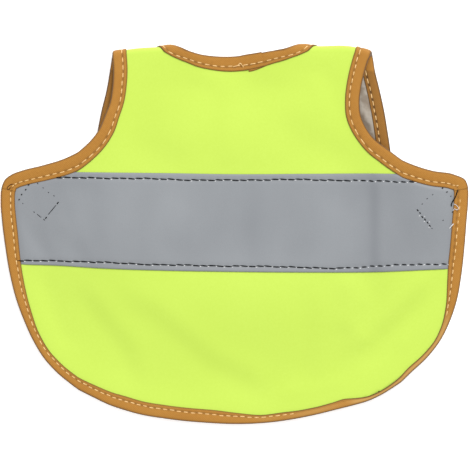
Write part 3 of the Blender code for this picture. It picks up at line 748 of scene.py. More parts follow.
# Columns x, bottom y, top y
BAND_ROWS = np.array([
    (-122.0, -14.6, 32.2), (-110.0, -15.3, 32.1), (-89.5, -16.0, 32.0), (-69.0, -17.3, 31.8),
    (-38.2, -18.4, 31.5), (0.8, -19.1, 30.9), (38.7, -19.4, 31.1), (74.6, -19.2, 31.2),
    (100.3, -18.1, 30.5), (122.0, -17.2, 29.6),
])
# Stitch lines of the band: columns x, lower line y, upper line y
BAND_STITCH_ROWS = np.array([
    (-112.0, -13.5, 29.2), (-90.0, -13.5, 29.1), (-74.0, -14.0, 29.0), (-43.0, -15.3, 28.6),
    (-17.0, -15.9, 27.9), (0.0, -16.2, 27.9), (33.6, -16.7, 28.2), (49.0, -17.4, 27.9),
    (59.0, -17.0, 27.7), (75.0, -16.0, 27.4), (95.0, -15.3, 26.8), (112.0, -15.0, 26.4),
])
BAND_PITCH = 4.1
# Soft strips of painted shade, where the beads turn from the light: columns top x, bottom x, half width,
# share of painted shade
BAND_SHADE_ROWS = (
    (71.8, 72.0, 2.6, 0.20), (67.0, 69.0, 6.5, 0.10), (88.0, 92.0, 16.0, 0.15),
    (10.0, 9.0, 7.0, 0.08), (40.0, 40.0, 34.0, 0.08), (-69.0, -70.0, 6.0, 0.07),
    (-92.0, -72.0, 3.5, 0.08), (-104.0, -92.0, 2.4, 0.06), (116.0, 114.0, 5.0, 0.16),
    (-119.0, -112.0, 3.0, 0.05),
)


def band_line(x, rows, index):
    """The y of one line of the band: 1 the lower, 2 the upper."""
    return smooth_between(x.ravel(), rows[:, 0], rows[:, index]).reshape(x.shape)


back_loop = outer_edge.points[::10]
back_loop = back_loop[back_loop[:, 1] < 0.0]
loop_y = fold_line(back_loop[:, 0]) + back_loop[:, 1]


WING_FROM_X = 84.0
WING_TOP_Y = 30.5
BAND_END_IN = 4.0


def side_at(y, sign):
    """Where the outline of a wing is at this height, on the left or the right."""
    wing = (back_loop[:, 0] * sign > WING_FROM_X) & (loop_y < WING_TOP_Y)
    order = np.argsort(loop_y[wing])
    return np.interp(y, loop_y[wing][order], back_loop[wing, 0][order])


def band_left(y):
    """The left end of the band, under the tapes."""
    armhole = np.interp(y, [26.0, 29.5, 31.0, 33.0], [-115.0, -108.0, -101.0, -93.0])
    return np.maximum(side_at(y, -1.0) + BAND_END_IN, armhole)


def band_right(y):
    """Its right end."""
    armhole = np.interp(y, [23.0, 26.0, 28.5, 31.5], [115.5, 109.0, 101.0, 90.0])
    return np.minimum(side_at(y, 1.0) - BAND_END_IN, armhole)


DEEP_SILVER = (0.238, 0.251, 0.268, 1)
LIGHT_SILVER = (0.286, 0.301, 0.319, 1)
SHADED_SILVER = (0.16, 0.17, 0.19, 1)
silver = Finish("reflective_silver_cloth", roughness=0.5, sheen=0.05, specular=0.4)
silver_beads = silver.noise(2600.0, 2.0, 0.7)
silver_clouds = silver.noise(30.0, 2.0, 0.5)
silver_streaks = silver.noise(70.0, 3.0, 0.5, (1.0, 0.35, 1.0))
silver_shade = silver_beads * 0.45 + silver_clouds * 0.35 + silver_streaks * 0.2
silver_painted_shade = silver.mark("band_painted_shade")
silver_plain = mixed(between(silver_shade, 0.25, 0.75), DEEP_SILVER, LIGHT_SILVER)
# The band's colour darkens towards a painted shade along the strips that its points carry.
silver.colour(mixed(silver_painted_shade, silver_plain, SHADED_SILVER))
silver.roughness(0.42 + silver_beads * 0.16)
silver.relief(silver_beads + silver_streaks * 0.4, 0.00008, 0.3)


def band_height(x, share):
    """The y at a share of the band's width, from its lower edge to its upper one."""
    return band_line(x, BAND_ROWS, 1) * (1 - share) + band_line(x, BAND_ROWS, 2) * share


BAND_NET = (190, 64)
# The groove along each stitch line, and the thinned rim, as a share of the band's width and a depth
GROOVE_WIDTH = 1.1
GROOVE_DEPTH = 0.28
RIM_SHARE = 0.02
RIM_THINNER = 0.2
BAND_PROUD = 0.62
BAND_UNDERSIDE = 0.98
BAND_UNDER_TAPE = (7.0, 9.5)
PRESSED_UNDER_TAPE = 0.85
BAND_MIDDLE_Y = 5.0
BAND_TALL = 48.0
share_x, share_y = np.meshgrid(*(np.linspace(0.0, 1.0, count) for count in BAND_NET))
middle_y = band_height(np.zeros_like(share_y), share_y)
band_x = band_left(middle_y) * (1 - share_x) + band_right(middle_y) * share_x
band_y = band_height(band_x, share_y)
groove = np.zeros_like(band_x)
for line in (1, 2):
    off_line = (band_y - band_line(band_x, BAND_STITCH_ROWS, line)) / GROOVE_WIDTH
    groove += np.exp(-off_line**2) * (0.75 + 0.25 * np.cos(2.0 * math.pi * band_x / BAND_PITCH))
rim_thin = np.exp(-(share_y / RIM_SHARE) ** 2) + np.exp(-((1.0 - share_y) / RIM_SHARE) ** 2)
band_points = on_back(band_x.ravel(), band_y.ravel())
from_edge = distance_to(band_points, outer_edge.points[::10]).reshape(band_x.shape)
under_tape = 1.0 - ramp(from_edge, *BAND_UNDER_TAPE)
band_proud = BAND_PROUD - GROOVE_DEPTH * groove - RIM_THINNER * rim_thin
band_high = CLOTH + band_proud * (1.0 - PRESSED_UNDER_TAPE * under_tape)
band_quads = net_quads(band_x.shape)
band = cloth_from(
    "reflective_band_cloth", band_points, band_quads, BAND_UNDERSIDE, band_high.ravel(), [silver]
)
up_share = np.clip((band_y - BAND_MIDDLE_Y) / BAND_TALL + 0.5, 0.0, 1.0)
# Painted shade in soft strips across the band, carried by its points.
band_painted_shade = np.zeros_like(band_x)
for top_x, bottom_x, half_width, amount in BAND_SHADE_ROWS:
    off_strip = (band_x - bottom_x - (top_x - bottom_x) * up_share) / half_width
    band_painted_shade += amount * np.exp(-off_strip**2)
marks = band.data.attributes.new("band_painted_shade", "FLOAT", "POINT")
marks.data.foreach_set("value", np.tile(band_painted_shade.ravel(), 2).astype(np.float32))
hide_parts("reflective_band")


THREAD_SIDES = 6
THREAD_END = 0.45
PROBE = 0.2


def sew(name, lines, radius, finish):
    """Short threads along lines of points in the pattern, each line one stitch."""
    flat = np.asarray(lines, float)
    centre = lay(flat)
    raised = flat.copy()
    raised[..., 2] += PROBE
    outward = lay(raised) - centre
    outward /= np.linalg.norm(outward, axis=-1, keepdims=True)
    ahead = np.gradient(centre, axis=1)
    ahead /= np.linalg.norm(ahead, axis=-1, keepdims=True)
    across = np.cross(ahead, outward)
    across /= np.linalg.norm(across, axis=-1, keepdims=True)
    outward = np.cross(across, ahead)
    count, steps = flat.shape[:2]
    taper = np.full(steps, 1.0)
    taper[0] = taper[-1] = THREAD_END
    sides = THREAD_SIDES
    angles = np.arange(sides) * 2.0 * math.pi / sides
    ring = (np.cos(angles)[None, None, :, None] * across[:, :, None, :]
            + np.sin(angles)[None, None, :, None] * outward[:, :, None, :])
    points = centre[:, :, None, :] + ring * (radius * MM) * taper[None, :, None, None]
    points[..., 2] = np.maximum(points[..., 2], TABLE_TOUCH * MM)
    base = np.arange(count * steps * sides).reshape(count, steps, sides)
    caps = []
    for end, order in ((0, (0, 1, 2, 3)), (-1, (3, 2, 1, 0))):
        for i in range(1, sides // 2):
            fan = base[:, end, [i - 1, i, sides - 1 - i, (sides - i) % sides]]
            caps.append(fan[:, order])
    thread = add_piece(name, points.reshape(-1, 3), np.vstack([round_quads(base), *caps]), [finish])
    return thread


def stitch_rise(count, height, sunk):
    """A stitch comes up out of the cloth, lies proud of it and goes back in."""
    share = np.linspace(-1.0, 1.0, count)
    return height - (height + sunk) * np.abs(share) ** 3


THREAD_TWIST = (1400.0, 2.0, 0.6)
BLACK = (0.002, 0.002, 0.003, 1)
SOFT_BLACK = (0.012, 0.012, 0.016, 1)
black_thread = Finish("black_thread", roughness=0.8, specular=0.15)
black_twist = black_thread.noise(*THREAD_TWIST)
black_thread.colour(mixed(between(black_twist, 0.45, 0.75), BLACK, SOFT_BLACK))

PALE_GREY = (0.60, 0.61, 0.62, 1)
NEAR_WHITE = (0.92, 0.92, 0.92, 1)
pale_thread = Finish("pale_thread", roughness=0.6, sheen=0.1)
pale_twist = pale_thread.noise(*THREAD_TWIST)
pale_thread.colour(mixed(between(pale_twist, 0.3, 0.7), PALE_GREY, NEAR_WHITE))

# Half of a black stitch, and how much shorter it gets to the right of an x
BLACK_HALF = 2.15
SHORTER_BY = 0.75
SHORTER_FROM_X = 58.0
BAND_THREAD_OUT = 1.42
BLACK_RADIUS = 0.30
FLECK_RADIUS = 0.19
# Columns line, first x, last x
BAND_STITCH_RUNS = ((1, -109.6, 110.5), (2, -89.6, 92.5))
band_stitches = []
band_flecks = []
for line, first_x, last_x in BAND_STITCH_RUNS:
    for number, middle in enumerate(np.arange(first_x, last_x, BAND_PITCH)):
        wander = 0.16 * math.sin(number * 1.9) + 0.10 * math.sin(number * 0.7)
        reach = BLACK_HALF - SHORTER_BY * (middle > SHORTER_FROM_X) + 0.10 * math.sin(number * 2.7)
        span = middle + np.linspace(-1.0, 1.0, 5) * reach
        tilt = (0.14 + 0.08 * math.sin(number * 2.3)) * np.linspace(1.0, -1.0, 5)
        spot = on_back(span, band_line(span, BAND_STITCH_ROWS, line) + wander + tilt)
        band_stitches.append(np.column_stack([spot, BAND_THREAD_OUT + stitch_rise(5, 0.16, 0.10)]))
        span = middle + BAND_PITCH / 2.0 + np.linspace(-0.5, 0.5, 4) * (0.9 + 0.5 * math.sin(number * 3.3))
        spot = on_back(span, band_line(span, BAND_STITCH_ROWS, line) + wander - 0.35 - tilt[:4])
        band_flecks.append(np.column_stack([spot, BAND_THREAD_OUT + stitch_rise(4, 0.10, 0.2)]))
sew("band_thread", band_stitches, BLACK_RADIUS, black_thread)
sew("band_under_thread", band_flecks, FLECK_RADIUS, pale_thread)

# The tapes.
# Mustard ribbed tape folded over each raw edge: round the hem, round the armholes and chest, and round the
# neck with its end lapped. A row of cream stitches holds each near its inner edge.

# The hem's tape on top, narrow where it is rolled under: columns x, width, stitches' distance from the edge
HEM_ROWS = np.array([
    (-120.0, 7.4, 5.1), (-118.5, 7.5, 5.0), (-117.0, 7.0, 4.6), (-115.3, 6.5, 4.4),
    (-112.9, 6.1, 4.2), (-109.5, 5.4, 3.8), (-105.5, 4.5, 3.2), (-100.0, 4.4, 3.1),
    (-94.0, 4.8, 3.5), (-79.0, 5.2, 3.7), (-70.0, 5.6, 3.7), (-62.0, 6.2, 4.1), (-54.7, 6.6, 4.4),
    (-45.0, 6.8, 4.7), (-26.0, 6.9, 4.7), (-10.0, 6.8, 4.4), (0.0, 5.9, 4.0), (4.0, 5.4, 3.8),
    (14.0, 4.1, 3.0), (25.0, 4.4, 3.0), (34.0, 3.9, 2.9), (44.0, 3.8, 2.7), (53.5, 4.1, 3.0),
    (57.5, 4.6, 3.2), (60.5, 3.8, 3.0), (64.0, 2.9, 2.0), (70.0, 1.9, 1.5), (78.0, 1.7, 1.4),
    (84.0, 1.9, 1.5), (90.5, 2.8, 2.0), (98.0, 2.6, 2.0), (105.0, 2.4, 2.0), (110.0, 3.2, 2.4),
    (113.6, 4.9, 3.7), (115.8, 6.6, 4.6), (117.3, 7.6, 4.7), (118.3, 7.5, 4.5), (120.1, 7.5, 4.2),
])
# Between these x the hem's tape is rolled so far under that its stitches don't show on top.
HEM_ROLLED_UNDER = (31.0, 111.5)
# The armholes' tape on top: columns y, width, stitches' distance from the edge
ARMHOLE_ROWS = np.array([
    (17.0, 7.4, 5.0), (28.0, 7.6, 5.2), (32.0, 7.8, 5.4), (35.0, 8.0, 5.7), (38.0, 8.4, 6.1),
    (42.0, 8.7, 6.4), (48.0, 8.6, 6.4), (56.0, 8.1, 5.9), (66.0, 7.4, 5.2), (78.0, 7.3, 4.9),
    (95.0, 7.2, 4.9),
])
# The neck's tape on top: columns x, width, stitches' distance from the edge
NECK_TAPE_ROWS = np.array([
    (-37.0, 4.4, 3.4), (-31.0, 4.9, 3.7), (-26.0, 5.7, 3.9), (-22.0, 6.1, 4.2), (-16.3, 6.7, 4.4),
    (-10.4, 7.2, 4.8), (-4.4, 7.7, 5.1), (1.0, 7.9, 5.1), (4.9, 7.8, 4.9), (10.8, 7.5, 4.8),
    (16.8, 6.9, 4.6), (22.7, 6.1, 4.0), (28.6, 4.9, 3.3), (33.0, 4.7, 3.2), (40.0, 4.8, 3.3),
])
STITCH_IN = 5.1
# Section of the tape on one face: columns share of its width from the edge, height over the cloth's middle
TAPE_ROWS = np.array([
    (0.0, 0.62), (0.015, 0.98), (0.05, 1.30), (0.11, 1.50), (0.20, 1.60), (0.32, 1.58),
    (0.45, 1.48), (0.57, 1.36), (0.65, 1.24), (0.71, 1.12), (0.77, 1.20), (0.85, 1.26),
    (0.92, 1.22), (0.97, 1.06), (1.0, 0.72),
])
STITCH_PITCH = 3.7
FIRST_STITCH = 1.5

RIB_PITCH = 0.0008
DEEP_MUSTARD = (0.385, 0.165, 0.0235, 1)
LIGHT_MUSTARD = (0.492, 0.228, 0.0375, 1)
HIGHLIT_MUSTARD = (0.55, 0.305, 0.088, 1)
MUSTARD_IN_SHADE = (0.075, 0.034, 0.010, 1)
mustard = Finish("mustard_ribbed_tape", roughness=0.75, sheen=0.15, specular=0.25)
mustard_grain = mustard.noise(1100.0, 3.0, 0.65)
mustard_clouds = mustard.noise(45.0, 3.0, 0.5)
mustard_ribs = mustard.ribs(RIB_PITCH, (0.7, 0.7, 0), 0.8)
mustard_shade = mustard_grain * 0.45 + mustard_clouds * 0.35 + mustard_ribs * 0.2
mustard_painted_shade = mustard.mark("shade")
mustard_roll_highlight = mustard.mark("rolled")
mustard_base = mixed(between(mustard_shade, 0.25, 0.78), DEEP_MUSTARD, LIGHT_MUSTARD)
# A painted highlight along the middle of the tape where it is rolled narrow.
mustard_face = mixed(mustard_roll_highlight, mustard_base, HIGHLIT_MUSTARD)
# The tape's colour darkens by the painted shade that its points carry.
mustard.colour(mixed(mustard_painted_shade, mustard_face, MUSTARD_IN_SHADE))
mustard.relief(mustard_ribs + mustard_grain * 0.6, 0.00015, 0.45)

DEEP_CREAM = (0.73, 0.44, 0.155, 1)
LIGHT_CREAM = (0.97, 0.70, 0.33, 1)
cream_thread = Finish("cream_thread", roughness=0.6, sheen=0.2)
cream_twist = cream_thread.noise(*THREAD_TWIST)
cream_thread.colour(mixed(between(cream_twist, 0.3, 0.7), DEEP_CREAM, LIGHT_CREAM))


# Widths on top below which the tape is rolled under, or so far that a painted highlight shows along its
# rounded middle
ROLLED_WIDTHS = (3.6, 5.5)
HIGHLIGHT_WIDTHS = (2.8, 4.8)
# Where its chest side starts, along the cloth from the fold
CHEST_TAPE_FROM = 6.0
# Where across the width the stitches pull a dent, as a share, and how deep
DENT_AT = 0.71
DENT_DEPTH = 0.12
# Heights through the tape's section, from the middle of the cloth
MID_CLOTH = 0.5
HUG = 0.53
FLAT_BELOW = 0.55
ROLL_BULGE = 0.10
TAPE_THICK = 0.4
# How much shade is painted into the tape at the folded edge, at the sewn edge, in a dent, on the chest side
# and where rolled
EDGE_SHADE = 0.95
SEAM_SHADE = 0.75
ROLLED_SEAM_SHADE = 0.2
DENT_SHADE = 0.14
DEEP_DENT_SHADE = 0.42
CHEST_SHADE = 0.34
ROLLED_SHADE = 0.04
MOST_SHADE = 0.95


def tape_loft(name, edge, places, first_stitch, widths, proud=0.0, flatness=1.0):
    """A tape folded over an edge, as wide on top as widths says. proud lifts it over another tape."""
    share, height = TAPE_ROWS.T
    count = len(places)
    proud, flatness = np.broadcast_to(proud, count), np.broadcast_to(flatness, count)
    pucker = 0.5 - 0.5 * np.cos(2.0 * math.pi * (places - first_stitch) / STITCH_PITCH)
    rolled = 1.0 - ramp(widths, *ROLLED_WIDTHS)
    in_chest = (edge.at(places)[:, 1] > FOLD_RUN + CHEST_TAPE_FROM).astype(float)
    roll_highlight = 1.0 - ramp(widths, *HIGHLIGHT_WIDTHS)
    outer_rows, inner_rows, shades, roll_highlights = [], [], [], []
    for side in (1.0, -1.0):
        width = widths if side > 0 else np.full(count, TAPE_WIDTH)
        for i in range(len(share))[::-1] if side > 0 else range(len(share)):
            bulge = ROLL_BULGE * rolled * math.sin(math.pi * share[i]) if side > 0 else 0.0
            sunk = DENT_DEPTH * math.exp(-((share[i] - DENT_AT) / 0.09) ** 2) * pucker
            risen = (height[i] - FLAT_BELOW) * flatness + FLAT_BELOW
            out = MID_CLOTH + side * (risen + bulge - sunk + proud)
            outer_in = edge.inset(places, width * share[i] - proud * (1.0 - share[i]))
            outer_rows.append(np.column_stack([outer_in, out]))
            fit = min(1.0, 0.04 + math.sqrt(share[i] / 0.12))
            hug = MID_CLOTH + side * (HUG * fit + proud)
            inner_in = edge.inset(places, TAPE_THICK + (width - TAPE_THICK) * share[i])
            inner_rows.append(np.column_stack([inner_in, hug * np.ones(count)]))
            to_edge, to_seam = width * share[i], width * (1.0 - share[i])
            # Painted shade along both edges, in the dents between the stitches, on the chest side under the
            # back, and where rolled.
            at_edge = EDGE_SHADE * np.exp(-((to_edge / 0.55) ** 2))
            at_seam = (SEAM_SHADE + ROLLED_SEAM_SHADE * rolled) * np.exp(-((to_seam / 0.42) ** 2))
            near_dent = math.exp(-(((share[i] - DENT_AT) / 0.06) ** 2))
            dent = (DENT_SHADE + DEEP_DENT_SHADE * pucker) * near_dent * (1.0 - rolled)
            shadowed = CHEST_SHADE * in_chest if side < 0 else ROLLED_SHADE * rolled
            shade = at_edge + at_seam + dent * (1.0 + in_chest * (side < 0)) + shadowed
            shades.append(np.clip(shade, 0.0, MOST_SHADE))
            # The painted highlight is strongest in the middle of the rolled tape's width.
            roll_highlights.append(roll_highlight * math.sin(math.pi * share[i]) * (side > 0))
    rows = outer_rows + inner_rows[::-1]
    shades = shades + shades[::-1]
    roll_highlights = roll_highlights + roll_highlights[::-1]
    around = len(rows)
    flat = np.array(rows).transpose(1, 0, 2).reshape(-1, 3)
    base = np.arange(count * around).reshape(count, around)
    i = np.arange(around // 2 - 1)
    end = np.stack([i, around - 1 - i, around - 2 - i, i + 1], axis=-1)
    faces = np.vstack([round_quads(base), base[0][end], base[-1][end[:, [0, 3, 2, 1]]]])
    piece = add_piece(name, lay(flat), faces, [mustard])
    for mark, rows in (("shade", shades), ("rolled", roll_highlights)):
        marks = piece.data.attributes.new(mark, "FLOAT", "POINT")
        marks.data.foreach_set("value", np.array(rows).T.ravel().astype(np.float32))
    length = np.linalg.norm(np.diff(edge.at(places), axis=0), axis=1).sum() * MM
    return piece


CLOSER_AT_FOLD = 2.5
NEAR_FOLD = 2.0


def even_places(edge, first, last, step):
    """Places along an edge, closer together round the shoulder fold."""
    dense = np.linspace(first, last, 9000)
    run = edge.at(dense)[:, 1]
    density = np.where((run > -NEAR_FOLD) & (run < FOLD_RUN + NEAR_FOLD), CLOSER_AT_FOLD, 1.0)
    total = np.concatenate([[0.0], np.cumsum((density[1:] + density[:-1]) / 2.0 * np.diff(dense))])
    return np.interp(np.linspace(0.0, total[-1], int(total[-1] / step) + 2), total, dense)


HALF_STITCH = 1.5
STITCH_OUT = 1.02


def tape_stitches(edge, places, top, proud=0.0, skipped=(0.0, 0.0)):
    """Stitches on both faces of a tape. top is their distance from the edge on the outer face."""
    lines = []
    proud = np.broadcast_to(proud, len(places))
    middles = np.arange(places[0] + FIRST_STITCH, places[-1] - FIRST_STITCH, STITCH_PITCH)
    for number, middle in enumerate(middles):
        span = middle + np.linspace(-1.0, 1.0, 5) * (HALF_STITCH + 0.10 * math.sin(number * 2.1))
        sway = 0.12 * math.sin(number * 1.3) + 0.07 * math.sin(number * 3.1)
        lifted = STITCH_OUT + np.interp(span, places, proud) + stitch_rise(5, 0.16, 0.35)
        if not skipped[0] < edge.at(middle)[0] < skipped[1]:
            spot = edge.inset(span, np.interp(span, places, top) + sway)
            lines.append(np.column_stack([spot, MID_CLOTH + lifted]))
        lines.append(np.column_stack([edge.inset(span, STITCH_IN + sway), MID_CLOTH - lifted]))
    return lines


def eased(values):
    """Values along a tape with their corners rounded."""
    return np.convolve(np.pad(values, 3, mode="edge"), np.ones(7) / 7.0, mode="valid")


def read_rows(rows, place):
    """The tape's width and its stitches' distance at each place."""
    return eased(np.interp(place, rows[:, 0], rows[:, 1])), eased(np.interp(place, rows[:, 0], rows[:, 2]))


TAPE_STEP = 0.9
TUCKED = 4.0
HEM_FLATTER = 0.08
LEFT_CORNER = (-119.3, 23.5)
RIGHT_CORNER = (119.6, 23.5)
left_corner = outer_edge.nearest(on_back(*LEFT_CORNER))
right_corner = outer_edge.nearest(on_back(*RIGHT_CORNER))

hem_places = even_places(outer_edge, left_corner - TUCKED, right_corner + TUCKED, TAPE_STEP)
hem_widths, hem_stitch_in = read_rows(HEM_ROWS, outer_edge.at(hem_places)[:, 0])
from_end = np.minimum(hem_places - hem_places[0], hem_places[-1] - hem_places)
# The hem's stitches start past its tucked ends.
hem_sewn = slice(5, -6)
hem_first_stitch = hem_places[hem_sewn][0] + FIRST_STITCH
hem_flatness = 1.0 - HEM_FLATTER * ramp(from_end, TUCKED, 4.0 * TUCKED)
hem_tape = tape_loft("hem_tape", outer_edge, hem_places, hem_first_stitch, hem_widths, 0.0, hem_flatness)
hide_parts("hem_binding")

side_end = outer_edge.length + left_corner
side_places = even_places(outer_edge, right_corner, side_end, TAPE_STEP)
side_x, side_run = outer_edge.at(side_places).T
side_y = np.where(side_run < FOLD_RUN, fold_line(side_x) + side_run, ARMHOLE_ROWS[-1, 0])
side_widths, side_stitch_in = read_rows(ARMHOLE_ROWS, side_y)
# At the right wing the tape lies over the hem's, and its stitches run on to the outer edge.
SIDE_PROUD = 0.03
PROUD_AT_CORNER = 0.17
RUN_OUT = 4.0
RUN_OUT_LENGTH = 7.0
past_corner = side_places - right_corner
side_proud = SIDE_PROUD + PROUD_AT_CORNER * (1.0 - ramp(past_corner, TUCKED, 2.0 * TUCKED))
side_stitch_in = side_stitch_in - RUN_OUT * (1.0 - ramp(past_corner, 0.0, RUN_OUT_LENGTH))
side_first_stitch = side_places[0] + FIRST_STITCH
side_tape = tape_loft(
    "armhole_chest_tape", outer_edge, side_places, side_first_stitch, side_widths, side_proud
)
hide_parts("armhole_chest_binding")

# The neck's tape starts at the join and ends over its own start. Past the lap it comes down to the cloth.
NECK_LAP = 7.7
LAP_ENDS = NECK_LAP + 5.0
NECK_JOIN = (14.1, -1.2)
NECK_TAPE_STEP = 1.0
LAP_PROUD = 0.35
LAP_FLATTER = 0.3
neck_start = neck_edge.nearest(NECK_JOIN)
neck_end = neck_start + neck_edge.length + NECK_LAP
neck_places = even_places(neck_edge, neck_start, neck_end, NECK_TAPE_STEP)
neck_x, neck_run = neck_edge.at(neck_places).T
neck_widths, neck_stitch_in = read_rows(NECK_TAPE_ROWS, neck_x)
on_chest_side = ramp(neck_run, FOLD_RUN, FOLD_RUN + 6.0)
neck_widths = neck_widths * (1.0 - on_chest_side) + TAPE_WIDTH * on_chest_side
neck_stitch_in = neck_stitch_in * (1.0 - on_chest_side) + STITCH_IN * on_chest_side
from_start, to_end = neck_places - neck_start, neck_end - neck_places
neck_proud = LAP_PROUD * (1.0 - ramp(from_start, NECK_LAP, LAP_ENDS))
near_join = 1.0 - ramp(np.minimum(from_start, to_end), NECK_LAP, LAP_ENDS)
neck_flatness = 1.0 - LAP_FLATTER * near_join
neck_widths = neck_widths + 1.0 - ramp(to_end, 1.0, NECK_LAP + 3.0)
neck_tape = tape_loft(
    "neck_tape", neck_edge, neck_places, neck_start + FIRST_STITCH, neck_widths, neck_proud, neck_flatness
)
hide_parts("neck_binding")

# The neck's stitches stop at the lap.
neck_sewn = to_end > NECK_LAP
CREAM_RADIUS = 0.26
cream_lines = tape_stitches(outer_edge, hem_places[hem_sewn], hem_stitch_in[hem_sewn], 0.0, HEM_ROLLED_UNDER)
cream_lines += tape_stitches(outer_edge, side_places, side_stitch_in, side_proud)
cream_lines += tape_stitches(
    neck_edge, neck_places[neck_sewn], neck_stitch_in[neck_sewn], neck_proud[neck_sewn]
)
sew("tape_thread", cream_lines, CREAM_RADIUS, cream_thread)


def loose_line(rows, count=17):
    """A loose thread through a few places on the back: columns x, y, height over the cloth."""
    rows = np.array(rows)
    share = np.linspace(0.0, len(rows) - 1.0, count)
    x, y, out = (smooth_between(share, np.arange(len(rows)), rows[:, i]) for i in range(3))
    return [np.column_stack([on_back(x, y), out])]


# Ends of thread that the sewer left: a loop at the neck's join, and a knot at the left wing's corner. The
# knot is cream thread painted dark brown, for the shade in its loops.
DEEP_BROWN = (0.045, 0.018, 0.008, 1)
LIGHT_BROWN = (0.13, 0.055, 0.02, 1)
shaded_cream_thread = Finish("shaded_cream_thread", roughness=0.8, specular=0.15)
brown_twist = shaded_cream_thread.noise(*THREAD_TWIST)
shaded_cream_thread.colour(mixed(between(brown_twist, 0.4, 0.7), DEEP_BROWN, LIGHT_BROWN))
LOOSE_RADIUS = 0.22
NECK_LOOP_ROWS = ((-0.6, 86.0, 1.6), (1.8, 86.6, 2.1), (3.1, 87.8, 2.2), (4.1, 86.7, 2.1), (5.0, 85.6, 1.5))
KNOT_ROWS = (
    (-113.2, 25.9, 1.7), (-114.5, 25.6, 1.95), (-115.8, 24.8, 2.0), (-116.5, 23.8, 2.0),
    (-116.1, 23.0, 1.95), (-115.1, 23.5, 1.95), (-114.8, 24.6, 1.7),
)
sew("neck_loose_thread", loose_line(NECK_LOOP_ROWS), LOOSE_RADIUS, cream_thread)
sew("corner_knot", loose_line(KNOT_ROWS), LOOSE_RADIUS, shaded_cream_thread)

# Hook and loop patches.
# Four short pieces of yellow-green tape: hooks inside the wings, loops outside the chest where they meet it.
# The hooks' box stitches come through to the band, and some ends of thread were left there.

DEEP_FUZZ = (0.42, 0.55, 0.10, 1)
LIGHT_FUZZ = (0.62, 0.76, 0.24, 1)
fuzz = Finish("hook_and_loop_fuzz", roughness=0.95, sheen=0.4)
fuzz_grain = fuzz.noise(1800.0, 3.0, 0.7)
fuzz.colour(mixed(between(fuzz_grain, 0.3, 0.7), DEEP_FUZZ, LIGHT_FUZZ))
fuzz.relief(fuzz_grain, 0.0004, 0.8)

# Heights of a patch's two faces, out from the inside of the vest
HOOKS_OUT = (-0.95, -0.01)
LOOPS_OUT = (1.01, 2.1)
PATCH_NET = (22, 18)
for node, layer, centre_x, centre_y, turn in PATCH_ROWS:
    ways = [np.linspace(-0.5, 0.5, count) * size for count, size in zip(PATCH_NET, PATCH_SIZE)]
    long_way, short_way = np.meshgrid(*ways)
    angle = math.radians(turn)
    x = (centre_x + long_way * math.cos(angle) - short_way * math.sin(angle)).ravel()
    y = (centre_y + long_way * math.sin(angle) + short_way * math.cos(angle)).ravel()
    quads = net_quads(long_way.shape)
    if layer == "back":
        patch = cloth_from(node + "_tape", on_back(x, y), quads, *HOOKS_OUT, [fuzz])
    else:
        patch = cloth_from(node + "_tape", on_chest(x, y), quads[:, ::-1], *LOOPS_OUT, [fuzz])
    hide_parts(node)

# Thread that shows on the band over each hook patch: columns x, y, direction in degrees, length, thickness
BOX_ROWS = (
    (-105.4, 25.5, 53.0, 0.9, 0.62), (-106.9, 23.0, 53.0, 1.0, 0.66),
    (-109.0, 20.5, 53.0, 0.9, 0.60), (-110.3, 17.9, 53.0, 0.9, 0.62),
    (-93.3, 12.6, 50.0, 10.4, 0.34), (-90.4, 16.1, 50.0, 1.8, 0.56), (-96.4, 8.6, 50.0, 1.4, 0.50),
    (-92.3, 19.8, -39.0, 0.8, 0.42), (-95.1, 21.5, -39.0, 0.7, 0.40),
    (-97.9, 23.9, -39.0, 0.7, 0.36), (-100.7, 26.1, -39.0, 0.7, 0.34),
    (-108.4, 15.9, -39.0, 0.6, 0.26), (-102.6, 11.5, -39.0, 0.9, 0.42),
    (-100.0, 9.6, -39.0, 4.6, 0.16), (-97.4, 7.6, -39.0, 1.6, 0.26), (94.0, 12.4, -50.0, 1.5, 0.52),
    (95.2, 11.0, -50.0, 1.1, 0.56), (96.4, 9.0, -50.0, 1.5, 0.58), (97.8, 7.7, -50.0, 1.6, 0.62),
    (99.1, 6.1, -50.0, 1.4, 0.56), (100.3, 4.5, -50.0, 1.3, 0.50), (101.4, 3.1, -50.0, 0.8, 0.40),
    (106.8, 23.8, 40.0, 0.8, 0.46), (109.1, 21.8, 40.0, 0.8, 0.50), (111.1, 19.6, 40.0, 0.8, 0.42),
    (101.7, 20.4, 40.0, 0.8, 0.34), (98.9, 18.4, 40.0, 0.9, 0.42), (96.3, 15.6, 40.0, 0.8, 0.40),
    (107.1, 7.3, 40.0, 0.9, 0.44), (112.0, 11.6, 40.0, 0.9, 0.42),
)
THICK_FROM = 0.45
BOX_THREAD_OUT = 1.52
BOX_RADIUS = 0.29
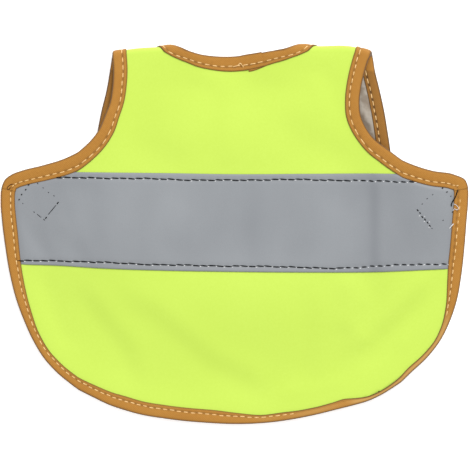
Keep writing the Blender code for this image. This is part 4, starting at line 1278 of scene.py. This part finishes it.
BOX_FINE_RADIUS = 0.18
box_lines = {"thick": [], "thin": []}
for x, y, turn, length, thickness in BOX_ROWS:
    angle = math.radians(turn)
    share = np.linspace(-0.5, 0.5, 5)
    spot = on_back(x + share * length * math.cos(angle), y + share * length * math.sin(angle))
    weight = "thick" if thickness > THICK_FROM else "thin"
    rise = stitch_rise(5, 0.02 + 0.3 * thickness, 0.3)
    box_lines[weight].append(np.column_stack([spot, BOX_THREAD_OUT + rise]))
sew("box_thread", box_lines["thick"], BOX_RADIUS, black_thread)
sew("box_fine_thread", box_lines["thin"], BOX_FINE_RADIUS, black_thread)

# At the right wing the box stitch runs off in a long black thread, with pale ends of thread beside it.
LONG_THREAD_ROWS = (
    (114.6, 22.8, 1.95), (113.5, 19.4, 1.95), (112.0, 16.9, 1.9), (111.3, 15.2, 1.7), (111.5, 14.4, 1.5),
)
PALE_LOOP_ROWS = (
    (112.2, 15.6, 1.7), (113.6, 15.3, 2.1), (115.0, 13.6, 2.2), (114.2, 12.6, 2.2), (113.0, 13.2, 2.0),
    (112.2, 12.2, 1.6),
)
PALE_END_ROWS = ((110.4, 3.0, 1.5), (111.2, 4.1, 1.9), (112.0, 5.0, 2.0), (112.5, 5.5, 1.8))
sew("long_black_thread", loose_line(LONG_THREAD_ROWS), 0.28, black_thread)
sew("pale_loop", loose_line(PALE_LOOP_ROWS), 0.14, pale_thread)
sew("pale_end", loose_line(PALE_END_ROWS), 0.25, pale_thread)

# Pale specks lie beside the box stitch, in turn on its two sides.
FIRST_SPECK = np.array([95.6, 10.2])
SPECK_STEP = np.array([1.25, -1.45])
SPECK_SIDE = np.array([0.76, 0.65]) * 0.9
for number in range(5):
    middle = FIRST_SPECK + SPECK_STEP * number + SPECK_SIDE * (1 if number % 2 else -1)
    speck_rows = [(*(middle - 0.35), 1.5), (*middle, 1.72), (*(middle + (0.35, -0.2)), 1.5)]
    speck = loose_line(speck_rows, 5)
    sew("pale_speck_%d" % (number + 1), speck, 0.15, pale_thread)
